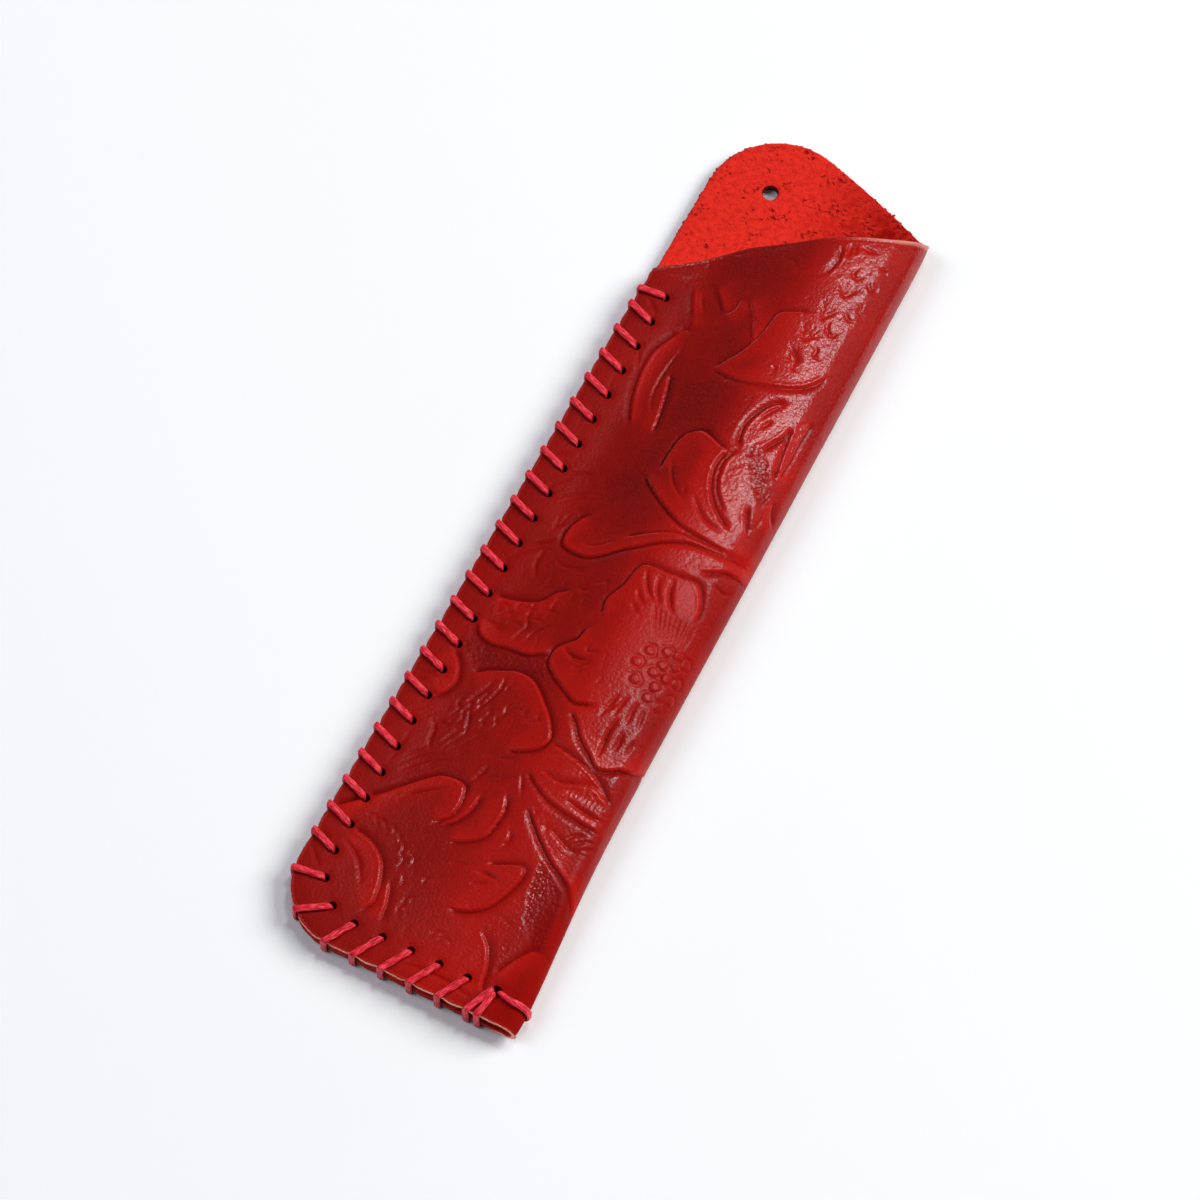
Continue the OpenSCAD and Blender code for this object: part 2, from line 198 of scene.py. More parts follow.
# Two holes take the seam round the corner, between the last bottom hole and the first side hole
CORNER_TURN_R = 4.6
TURN_CENTRE = np.array([SIDE_IN + 5.5, BOTTOM_IN + 5.5])
BOTTOM_HOLES = holes_between([BOTTOM_W - FOLD_IN, BOTTOM_IN], [TURN_CENTRE[0] + 3.1, BOTTOM_IN])
CORNER_HOLES = [TURN_CENTRE + CORNER_TURN_R * turned(a) for a in (253, 191)]
SIDE_HOLES = holes_between([SIDE_IN, TURN_CENTRE[1] + 3.85], [SIDE_IN, SEAM_LEN - TOP_IN])
STITCH_HOLES = [(BOTTOM_HOLES[0], LOCK_HOLE_R)] + [
    (h, HOLE_R) for h in BOTTOM_HOLES[1:] + CORNER_HOLES + SIDE_HOLES]
HANG_HOLE = (np.array([TAB_INSET + HANG_SIDE, CASE_LEN - HANG_TOP]), HANG_R)
CORNER_LEN = CORNER_R * np.pi / 2


def edge_crossings():
    """Where the stitches cross the edge, as distances along it from the start of the round corner."""
    bottom = [CORNER_R - h[0] + BOTTOM_LEAN for h in BOTTOM_HOLES]
    side = [CORNER_LEN + h[1] - CORNER_R + SIDE_LEAN for h in SIDE_HOLES]
    corner = [bottom[-1] + (side[0] - bottom[-1]) * i / 3 for i in (1, 2)]
    return bottom + corner + side


# ---------------------------------------------------------------------------------------------
# The tooled pattern: a traditional western floral scroll, laid out over the flat blank as
# (distance over the leather, y) in millimetres.
# ---------------------------------------------------------------------------------------------
# Bevelled outlines: the side on which the ground is pressed down, the depth and the points
BEVELS = [
    ("L", 0.36, [(5, 18.9), (8.5, 18.2), (11, 16.7), (12.3, 15.1), (13.2, 13), (13.8, 10.5), (13.9, 8.8),
         (12.8, 6.9)]),
    ("L", 0.3, [(14.6, 13.4), (15.9, 10.2), (16.5, 6.8)]),
    ("L", 0.42, [(0.5, 20.8), (5, 25), (10, 30.3), (13, 32.8), (15.5, 33.2), (17.3, 32.9), (18, 31.5),
         (18.3, 29.5), (18, 27.5), (16.8, 26), (15.8, 25.2)]),
    ("L", 0.34, [(20.6, 32.5), (20.5, 30.5), (20, 28.5), (18.8, 26.5), (17, 25.2)]),
    ("L", 0.38, [(24.2, 34), (25, 32.5), (25.3, 30.5), (25, 28), (24.5, 26.3), (22.5, 24.6), (19.7, 23.3)]),
    ("L", 0.3, [(27.5, 29), (28.1, 27.5), (27.5, 25.8)]),
    ("R", 0.48, [(28.5, 33.5), (31, 30.8), (35, 27.5), (38.5, 25.5), (40.5, 24), (43, 20.5)]),
    ("L", 0.42, [(27, 22.5), (32, 24.5), (33, 23), (32.3, 20), (31, 17), (29.5, 15.2), (27, 13.8),
         (25, 13.6)]),
    ("L", 0.36, [(31.6, 12.2), (33.5, 10.5), (35, 7.5), (35.5, 5), (36.2, 3.5)]),
    ("L", 0.34, [(36.5, 7), (37.5, 9.4), (39.1, 12), (40.1, 13), (41.6, 13)]),
    ("L", 0.44, [(8.8, 50.8), (11, 52.3), (13.5, 53.3), (15.5, 53.9), (18, 53.6), (20, 52.5), (22, 50.7),
         (24, 48.8), (25.5, 46.8), (26.2, 45.4), (26, 43.8), (24.7, 42.4), (22.5, 41.3), (20.5, 41)]),
    ("L", 0.36, [(4, 53.3), (6, 51.5), (7, 49.5), (7.2, 48), (6.5, 46), (5.2, 44.5)]),
    ("L", 0.38, [(5.5, 64.5), (9.5, 65.3), (12.5, 66.5), (14.5, 69), (16.5, 70)]),
    ("R", 0.42, [(5, 60), (5.8, 58), (7, 57), (9, 56.6), (12, 57), (15, 57), (17.5, 58), (19, 58.5)]),
    ("R", 0.44, [(23, 65), (22.3, 64.2), (21.9, 62.4), (21, 61.6), (19.4, 60.1), (19.1, 58.5), (19.5, 56.8),
         (21.5, 55), (24, 53.5), (26.5, 52.2), (28, 52.3), (30, 53)]),
    ("L", 0.38, [(23.8, 67.4), (22.9, 70.4), (24.3, 73.7), (25, 77), (26.3, 78.3), (29.6, 78.4), (33, 78.8),
         (34.4, 79), (35.5, 78.1), (36.5, 76.6), (37.2, 75), (37.3, 73)]),
    ("R", 0.46, [(27, 50.5), (28.5, 49.5), (30.6, 47), (33, 45.2), (34.9, 43.7), (36.8, 44.2), (38.3, 45.2),
         (40, 45.7), (42, 46.5), (45.5, 48)]),
    ("R", 0.4, [(25.5, 39), (27, 37.8), (30, 36), (33, 35.2), (36, 34.8), (40, 34.5)]),
    ("L", 0.3, [(27.5, 39.7), (30, 39.2), (31.5, 39.2), (34, 40.2), (36.5, 40.8), (38.7, 39.6)]),
    ("L", 0.38, [(26.5, 44.5), (31, 43.8), (34.5, 42.8), (36.5, 41.8), (38.5, 40.2), (39.5, 39)]),
    ("R", 0.44, [(12.5, 83.7), (11.2, 82.3), (10.4, 80.5), (10.3, 78.8), (10.7, 77.3), (12, 76.6),
         (14.5, 76.3), (16, 76.5), (18, 77.5), (20.5, 79.3), (23.5, 81), (26, 82.5), (30, 84.3), (34, 85),
         (38, 85.4), (43, 86)]),
    ("L", 0.36, [(20, 81.7), (24.5, 84), (28.5, 85.3), (33, 85.5), (36, 85.6), (40, 86), (43.5, 86.5)]),
    ("R", 0.36, [(34, 80.8), (36, 82), (38, 83), (41, 83.3), (43.5, 83.6)]),
    ("R", 0.42, [(17.5, 93.3), (20, 91.2), (23, 89.2), (26, 87.5), (29, 86.5), (33, 86.1), (36, 86)]),
    ("L", 0.44, [(19.3, 95), (19.3, 99), (20, 102), (21.5, 103.3), (23, 103.7), (25, 103), (27, 102.2),
         (28.2, 101.9)]),
    ("L", 0.42, [(28.2, 101.9), (27.7, 99), (28.3, 96), (29.8, 93.3), (32, 91), (34.5, 89.5)]),
    ("R", 0.36, [(29.8, 102.5), (29, 101), (28.8, 99), (29.3, 96.5), (30.5, 94.3), (32.6, 92.2)]),
    ("L", 0.46, [(35.2, 94.7), (36, 92.7), (37.7, 90.2)]),
    ("L", 0.36, [(39, 97.8), (40, 95.5), (41.5, 94)]),
    ("R", 0.42, [(32.7, 113.9), (30.8, 112.5), (29.5, 110), (28.8, 107.5), (29, 105), (29.8, 103.3)]),
    ("L", 0.38, [(35, 110.5), (34.8, 108.5), (33.8, 106.5), (32.8, 104.5)]),
    ("R", 0.38, [(35.3, 110.5), (35.8, 107), (36.3, 104), (37.2, 101)]),
    ("L", 0.38, [(38, 113), (37.9, 108), (38, 105), (37.6, 102)]),
    ("R", 0.32, [(18.5, 115), (23, 114.2), (27, 114.7), (31, 116), (34, 118), (36, 121)]),
    ("L", 0.34, [(18.5, 115.3), (20, 117.5), (21.5, 119.5), (23, 123), (23.5, 125.5), (24, 128),
         (26.5, 129.3), (28.5, 130)]),
    ("R", 0.24, [(11, 129.7), (13.5, 127), (15, 125.2)]),
    ("L", 0.2, [(15, 125.2), (16.3, 126.8), (16.3, 129)]),
    ("R", 0.22, [(17.8, 129), (20, 126), (21.7, 122.8), (22.5, 121)]),
    ("R", 0.2, [(7.5, 128), (9, 125), (10.5, 122), (10.8, 121)]),
    ("R", 0.4, [(9.3, 119.6), (8.2, 117.5), (7.2, 115), (7, 112.5), (7.2, 110), (7.8, 107), (8.8, 104),
         (10.2, 101.3)]),
    ("L", 0.34, [(9.3, 119.6), (10.3, 120.6), (11.2, 120.3)]),
    ("L", 0.4, [(12, 112), (13, 109), (14, 105), (14.5, 102), (14.7, 100.8)]),
    ("L", 0.34, [(28.5, 123), (30, 121.8), (30.8, 120.5)]),
    ("R", 0.34, [(27.8, 143.5), (28.4, 141), (28, 138.5), (27.5, 137.3)]),
]

# Knife cuts: depth and points
CUTS = [
    (0.3, [(4.9, 16.4), (7.5, 15.2), (9.2, 13.5), (10.6, 11.1)]), (0.22, [(0.8, 16.3), (3, 15.3)]),
    (0.22, [(0.8, 13.3), (3.5, 10.6)]), (0.34, [(8.9, 26.5), (10.9, 28.5), (14.1, 30.8), (15.1, 31.4)]),
    (0.3, [(19.3, 37.7), (18.9, 35.7), (17.9, 33.4)]), (0.24, [(21.5, 20.1), (25.5, 21.8)]),
    (0.36, [(26, 20.7), (28, 21), (30, 20.7)]), (0.26, [(26, 18.5), (29.5, 20)]),
    (0.28, [(23, 2), (26, 2.7), (31, 2.7), (35, 1.8)]),
    (0.28, [(22.7, 40.1), (21.4, 39.6), (19.7, 39.2), (18.4, 38.7)]),
    (0.32, [(12.8, 51), (12.3, 49), (11.3, 47), (10.6, 45.7)]),
    (0.34, [(14.2, 52.3), (14.5, 50), (13.8, 47.5), (12.8, 45)]),
    (0.28, [(11.5, 45.5), (12.5, 43), (13, 41), (12.5, 39.5)]), (0.22, [(15.8, 51.5), (15.2, 49.5)]),
    (0.26, [(17, 48), (17.3, 46.5), (16.8, 45)]), (0.24, [(20, 48.5), (20.4, 46.8)]),
    (0.24, [(22.3, 48.3), (22.5, 47), (21, 46.2)]), (0.3, [(7, 41), (8.2, 39.5), (8.5, 37.5), (9.3, 36)]),
    (0.14, [(5.1, 39), (4.5, 31)]), (0.26, [(1, 47), (3, 47.8), (5.8, 48.2)]), (0.2, [(1, 46), (3, 46.5)]),
    (0.28, [(7, 65), (6.8, 63.5), (7.2, 62)]), (0.32, [(12, 65), (12.3, 63), (13, 61.5), (11.8, 58.7)]),
    (0.3, [(16.2, 63.2), (14.5, 61), (14, 59)]), (0.24, [(7, 59.5), (9.3, 60.3)]),
    (0.4, [(20.5, 60.2), (23, 59.3), (26, 59.5)]), (0.28, [(24.5, 62), (24.4, 61), (26, 61.3)]),
    (0.3, [(23.5, 57.2), (26, 59)]), (0.34, [(26.6, 77.5), (27.5, 75.7), (28.8, 74), (30.5, 72.8)]),
    (0.34, [(29, 77), (29.8, 74.8), (31.2, 72.8)]),
    (0.42, [(31.2, 77.7), (31.8, 75.3), (33, 73.2), (33.7, 72.3)]),
    (0.28, [(27, 73.8), (27.7, 72.7), (29, 71.7)]), (0.26, [(27.2, 71.2), (28.8, 69.9)]),
    (0.42, [(34.2, 52.5), (34, 50), (34.2, 47.5), (34.3, 45.6)]),
    (0.32, [(36, 51), (36.2, 49), (36, 47.5)]), (0.28, [(38.2, 50.5), (38, 48)]),
    (0.28, [(31.5, 53), (33.5, 54.5)]), (0.38, [(33.5, 37), (36, 36.6), (39.7, 36.3)]),
    (0.3, [(32.3, 32), (34.5, 31.3), (36.5, 30.5), (38, 30.1), (40, 30.3)]),
    (0.22, [(32.3, 32.2), (32.9, 31)]), (0.26, [(24.8, 38.3), (26.5, 34.8)]),
    (0.22, [(29.6, 33.8), (30.1, 32.4)]), (0.32, [(14, 78.5), (15.5, 78.7), (18.5, 80.5)]),
    (0.26, [(36.8, 80), (39.5, 79.7), (41, 81)]),
    (0.32, [(20.5, 97.4), (21.8, 95), (23.5, 92.8), (26, 91)]), (0.24, [(25, 93.2), (25.8, 91.8)]),
    (0.34, [(27.3, 92.2), (29, 90.5), (31, 89.2), (33.5, 88.4)]), (0.26, [(38.6, 94.5), (38.5, 92)]),
    (0.3, [(32.7, 113.8), (31.2, 111.5), (30.3, 109.5)]), (0.26, [(32, 109.7), (31, 107.8)]),
    (0.32, [(11.5, 117.5), (11, 112), (11, 109), (11.5, 106.5), (12.5, 104.5)]),
    (0.24, [(2, 123), (4, 121.5), (4.2, 120.8)]), (0.24, [(5, 114), (6, 112), (6.6, 110.5)]),
    (0.24, [(30.5, 144.7), (32.8, 144.8)]), (0.24, [(28.8, 144.5), (29.3, 142)]),
    (0.16, [(20, 138), (22, 137.7), (23.5, 136)]), (0.16, [(7.8, 133.5), (8.2, 132)]),
    (0.26, [(8, 81.5), (8.4, 79.5), (9.5, 82.5)]), (0.26, [(5.3, 88.8), (7.5, 90), (9.3, 90.5)]),
    (0.22, [(1.5, 91), (4, 92.3)]), (0.24, [(7.5, 85.7), (11, 87.3)]),
    (0.28, [(6, 74.8), (7.5, 76), (9.8, 78)]), (0.26, [(8.7, 75.3), (8.6, 72.5), (9.8, 70)]),
    (0.24, [(32.6, 56.5), (32, 54), (31.6, 51.8)]), (0.24, [(34, 56.8), (33.6, 54.5), (33.4, 52.8)]),
    (0.24, [(35.6, 56.6), (35.6, 54.4), (35.8, 52.4)]), (0.22, [(37.2, 56), (37.4, 54), (37.8, 52.2)]),
    (0.26, [(11.5, 74), (13, 73.6), (17, 74.3)]),
]

# Fine lines that run from the upper petal's cuts down to the flower's centre
CUTS += [(0.26, [(30.6 + k * 0.9, 72.4), (31.9 + k * 0.72, 70), (33.1 + k * 0.6, 67.7)]) for k in range(9)]

# Small crescent stamps round the scrolls: where each is and the way that it opens, in degrees
CRESCENTS = [
    (7, 21.6, 80), (8.6, 21.5, 75), (10.5, 21.3, 65), (12, 20.3, 50), (13.3, 19.3, 40), (14.2, 17.2, 20),
    (15.8, 18, 30), (20, 16, 150), (16, 14, 0), (18.7, 11.7, 170), (18.5, 10, 180), (25.5, 8.8, 120),
    (27, 8.3, 100),
]

# Depth and width of each kind of fine cut
HATCH_CUT, SHELL_CUT, STROKE_CUT, FAN_CUT = (0.15, 0.16), (0.25, 0.2), (0.22, 0.2), (0.2, 0.17)

# Wavy rows of the shell stamp
SHELL_ROWS = [
    [(12.8, 50.7), (12.5, 49.1), (13.1, 48.5), (12.5, 46.7), (13, 46), (12.3, 44.2)],
    [(14.7, 47.3), (14.3, 46.2), (15.1, 45.5), (14.4, 43.9), (15.1, 43.3), (14.3, 41.7)],
    [(16.8, 46.1), (16.3, 44.9), (17, 44.3), (16.3, 42.9)],
    [(9.6, 46.3), (9.4, 45), (10.1, 44.4), (9.4, 42.6)],
    [(11.4, 47.7), (11, 46.3), (11.6, 45.7), (10.9, 43.9), (11.5, 43.4), (10.9, 41.7)],
    [(17.3, 47.2), (18.6, 48), (19.9, 47.8)], [(22.2, 48.3), (23.1, 47.2), (22.4, 46.4)],
    [(7.4, 39.8), (8.4, 41.2), (9.7, 40.9), (10.2, 42)],
    [(31.7, 141), (31.4, 139.7), (32.4, 139.1), (32.9, 140)],
    [(34.1, 140.1), (34.4, 138.9), (35.7, 138.3), (35.9, 139.4), (35, 140.1)],
    [(34.4, 143), (35.6, 142.7), (36.6, 142)], [(34, 135.5), (35.1, 135.2), (35, 134.1), (36.4, 133.9)],
    [(33.2, 133), (34.3, 131.9), (35.4, 132.2)],
    [(31.9, 130.4), (32.1, 128.8), (33.4, 127.9), (33.8, 128.9)],
    [(31.3, 125.2), (32.5, 124.6), (32.4, 123.5), (33.7, 123.3)],
    [(29.1, 122.6), (29, 121.6), (30.3, 120.9), (30.6, 119.7), (31.4, 119.9)],
    [(27.8, 118.8), (28.2, 118.4), (28.5, 117.9)], [(31.1, 145.1), (31.9, 144.6), (32.9, 144.9)],
    [(28.7, 144.3), (29.9, 144), (29.8, 143)], [(11.8, 128.6), (13.6, 126.4), (15.4, 125.6), (15.8, 127)],
]

# Scales of the feather leaf, and light strokes round it and along the stitched margin
STROKES = [
    [(5.7, 62.4), (6.7, 63.5), (8.1, 63.6), (8.8, 63.1)], [(7.6, 64.5), (9, 65.7), (10.7, 65.6)],
    [(10.9, 65.4), (12.2, 66.5), (13.8, 66.5)], [(7.3, 61.4), (8.7, 62.6), (10.3, 62.5)],
    [(9.8, 63.4), (11.3, 64.6), (13.1, 64.5)], [(13.1, 64.2), (14.6, 65.5), (16.3, 65.4)],
    [(9.3, 60.3), (10.6, 61.5), (12.3, 61.3)], [(11.8, 62.2), (13.1, 63.3), (15.1, 63.2)],
    [(12.4, 59.6), (13.4, 60.8), (14.8, 62.2)], [(5.8, 59.8), (7.6, 59.9), (9.5, 59)],
    [(14.4, 67.9), (14.9, 68.9), (16.1, 69.7)], [(1.5, 90.9), (2.5, 91.5), (3.7, 92)],
    [(5.4, 89.1), (7.6, 89.9), (9.1, 90.7)], [(5.4, 84), (7.8, 85.7), (10.4, 87.1), (12.4, 87.4)],
    [(6.6, 83.8), (9, 85.5), (11.8, 86.4)], [(3.6, 84.9), (4.6, 86.6), (6.4, 88.1)],
    [(4.7, 73.6), (6.9, 75.3), (9.8, 77.2)], [(3.3, 70.2), (5.2, 72.7), (7.7, 74.9), (10.1, 75.6)],
    [(7.8, 78.7), (9.2, 80.2), (10.3, 82.2), (11, 83)], [(8.9, 78.7), (10.2, 80.4), (11.4, 82.3)],
    [(17, 71.1), (18.3, 70.7), (19.4, 71.3)], [(11.1, 37.3), (12.6, 39.8), (13.9, 41.5)],
    [(12, 36.8), (13.6, 39), (15.3, 41)], [(10.3, 37.8), (11.5, 40.2), (12.8, 42)],
    [(6.2, 31.9), (8.2, 34.4), (11.2, 36.1)], [(6.7, 30.9), (9.6, 33.9), (13.1, 35.8)],
    [(6.1, 33.1), (7, 34.4), (8.5, 35.8)], [(37.1, 30.4), (38.5, 32), (40.2, 32.8)],
    [(37.9, 29.4), (39.4, 31.1), (41.3, 32.2)], [(36.1, 31.3), (37.1, 32.5), (38.9, 33.1)],
    [(8.8, 124.7), (9.7, 123.7), (10.6, 122.6)], [(19, 127.1), (20.1, 126), (21.2, 124.9)],
    [(9.7, 127.2), (10.6, 125.8), (11.5, 124.4)], [(9, 136.6), (11.7, 136.9), (12.9, 138.3)],
    [(5.1, 64.2), (6.8, 64.5), (9.5, 65.5), (12.3, 66.7), (14, 67.3), (14.6, 68.6), (16.6, 70.1)],
    [(7.2, 62), (6.9, 63.2), (7.1, 64.5)], [(9.7, 63.7), (9.8, 64.9), (10.6, 65.9)],
    [(12.3, 64.2), (12.1, 65.8), (13.1, 67)], [(15.1, 63.9), (15.1, 65.4), (15.2, 67.5), (15.7, 68.6)],
    [(17.2, 68.2), (17.5, 69.6)], [(19.7, 67.5), (19.4, 68.9), (19.7, 69.9)],
    [(12, 58.6), (12.8, 60.3), (13.6, 62)], [(14.3, 60), (14.9, 61.8), (16.6, 63.1)],
    [(7.4, 59.2), (9.1, 59.4), (9.9, 60.2)], [(12, 73.7), (13.4, 73.8), (14.2, 74)],
    [(14.8, 73.3), (17.1, 73.8)], [(14.5, 70.4), (15.4, 71.1)],
    [(19.3, 72.5), (20.8, 73), (21.5, 73.6), (22.1, 71.8)], [(21.2, 59.5), (23.5, 58.7), (26.4, 58.9)],
    [(24.1, 56.4), (25.6, 57.5)], [(5.2, 71.7), (5, 73.2), (5.3, 73.9)],
    [(7.5, 62.1), (7.3, 63.6), (7.7, 64.8)], [(9.2, 61.9), (10.2, 62.7)],
    [(11.2, 62.1), (11.8, 62.9), (13.1, 63.2)],
]

# Fans of fine lines by the mouth: where each spreads from, and where its lines end
FANS = [
    ((32, 134.9), [(30.1, 137.7), (30.7, 137.9), (31.3, 138.1), (32.1, 138.1), (32.8, 138), (33.4, 137.7)]),
    ((30.7, 129.6), [(29.4, 133.1), (30, 133.1), (30.8, 133), (31.5, 132.8), (32.2, 132.3)]),
    ((29.7, 124.8), [(28.3, 128.2), (28.9, 128.3), (29.6, 128.2), (30.4, 128.1), (31.2, 127.8),
         (32, 127.4)]),
]

# Beads of the flower's centre
BEADS = [
    (35.9, 66.3), (37.7, 66.5), (33.5, 65.2), (36.2, 63.9), (38.2, 64.8), (32.5, 62.6), (35.5, 62.2),
    (37.8, 62.2), (33.6, 59.8), (36.8, 60.2), (36.6, 58), (39.8, 66), (40, 62.5), (40.5, 59.5), (39, 57.5),
]
BEAD_R = 1.02

# Rows of fine parallel lines: first line, step to the next and their number
HATCHES = [
    ((11.4, 37.8), (12.4, 39.5), (0.55, -0.25), 5), ((8.4, 33.6), (9.4, 35.3), (0.55, -0.25), 5),
    ((13.4, 41.1), (14.4, 42.8), (0.55, -0.25), 5), ((27, 41), (30, 41.2), (0, 0.6), 3),
    ((33, 38), (33.3, 39.4), (0.75, 0), 9), ((36.5, 25.4), (40, 24.6), (0, 0.45), 12),
]

# Ground that is matted with a round-pointed stamp: strength and outline
MATTED = [
    (1, [(34, 27), (36, 25.7), (40, 23), (41.8, 13), (39.5, 13), (36, 17), (34.5, 22)]),
    (0.95, [(5, 58), (9, 56.4), (19, 57.8), (20, 56), (25, 52), (23.5, 51), (20, 53.7), (15, 54.2), (8, 52),
         (5, 54)]),
    (1, [(30, 104), (33, 105), (36.5, 101), (38.5, 98), (37.5, 95), (35, 97), (32, 101)]),
    (0.5, [(14, 86), (18, 89), (17, 92), (17.5, 97), (18, 101), (15.5, 100), (13, 94), (11, 90)]),
    (0.5, [(15.5, 101), (20, 104.5), (27, 104), (28, 108), (28, 112.5), (20, 113), (15, 111)]),
    (0.5, [(19, 36), (21, 37), (24, 38), (26, 35), (24, 36.5), (21, 34)]),
]


def smooth_line(points, step=0.4):
    """A smooth line of evenly spaced points through the given ones."""
    p = np.array(points, float)
    if len(p) > 2:
        ends = np.vstack([2 * p[0] - p[1], p, 2 * p[-1] - p[-2]])
        t = np.linspace(0, 1, 9)[:-1, None]
        parts = []
        for a, b, c, d in zip(ends[:-3], ends[1:-2], ends[2:-1], ends[3:]):
            parts.append(0.5 * (2 * b + (c - a) * t + (2 * a - 5 * b + 4 * c - d) * t ** 2
                                + (3 * b - a - 3 * c + d) * t ** 3))
        p = np.vstack(parts + [p[-1:]])
    run = np.concatenate([[0], np.cumsum(np.linalg.norm(np.diff(p, axis=0), axis=1))])
    n = max(2, int(np.ceil(run[-1] / step)) + 1)
    at = np.linspace(0, run[-1], n)
    return np.stack([np.interp(at, run, p[:, i]) for i in (0, 1)], 1)


def within(x, y, corners, longest=np.inf):
    """Whether each point is inside a closed line, and how far it is from the sides up to the longest."""
    inside = np.zeros(x.shape, bool)
    near = np.full(x.shape, 1e9)
    for a, b in zip(corners, np.roll(corners, -1, axis=0)):
        crosses = (a[1] > y) != (b[1] > y)
        at = a[0] + (b[0] - a[0]) * (y - a[1]) / (b[1] - a[1] if b[1] != a[1] else 1e-9)
        inside ^= crosses & (x < at)
        way = b - a
        if way @ way <= longest ** 2:
            t = np.clip(((x - a[0]) * way[0] + (y - a[1]) * way[1]) / max(way @ way, 1e-12), 0, 1)
            near = np.minimum(near, np.hypot(x - a[0] - t * way[0], y - a[1] - t * way[1]))
    return inside, near


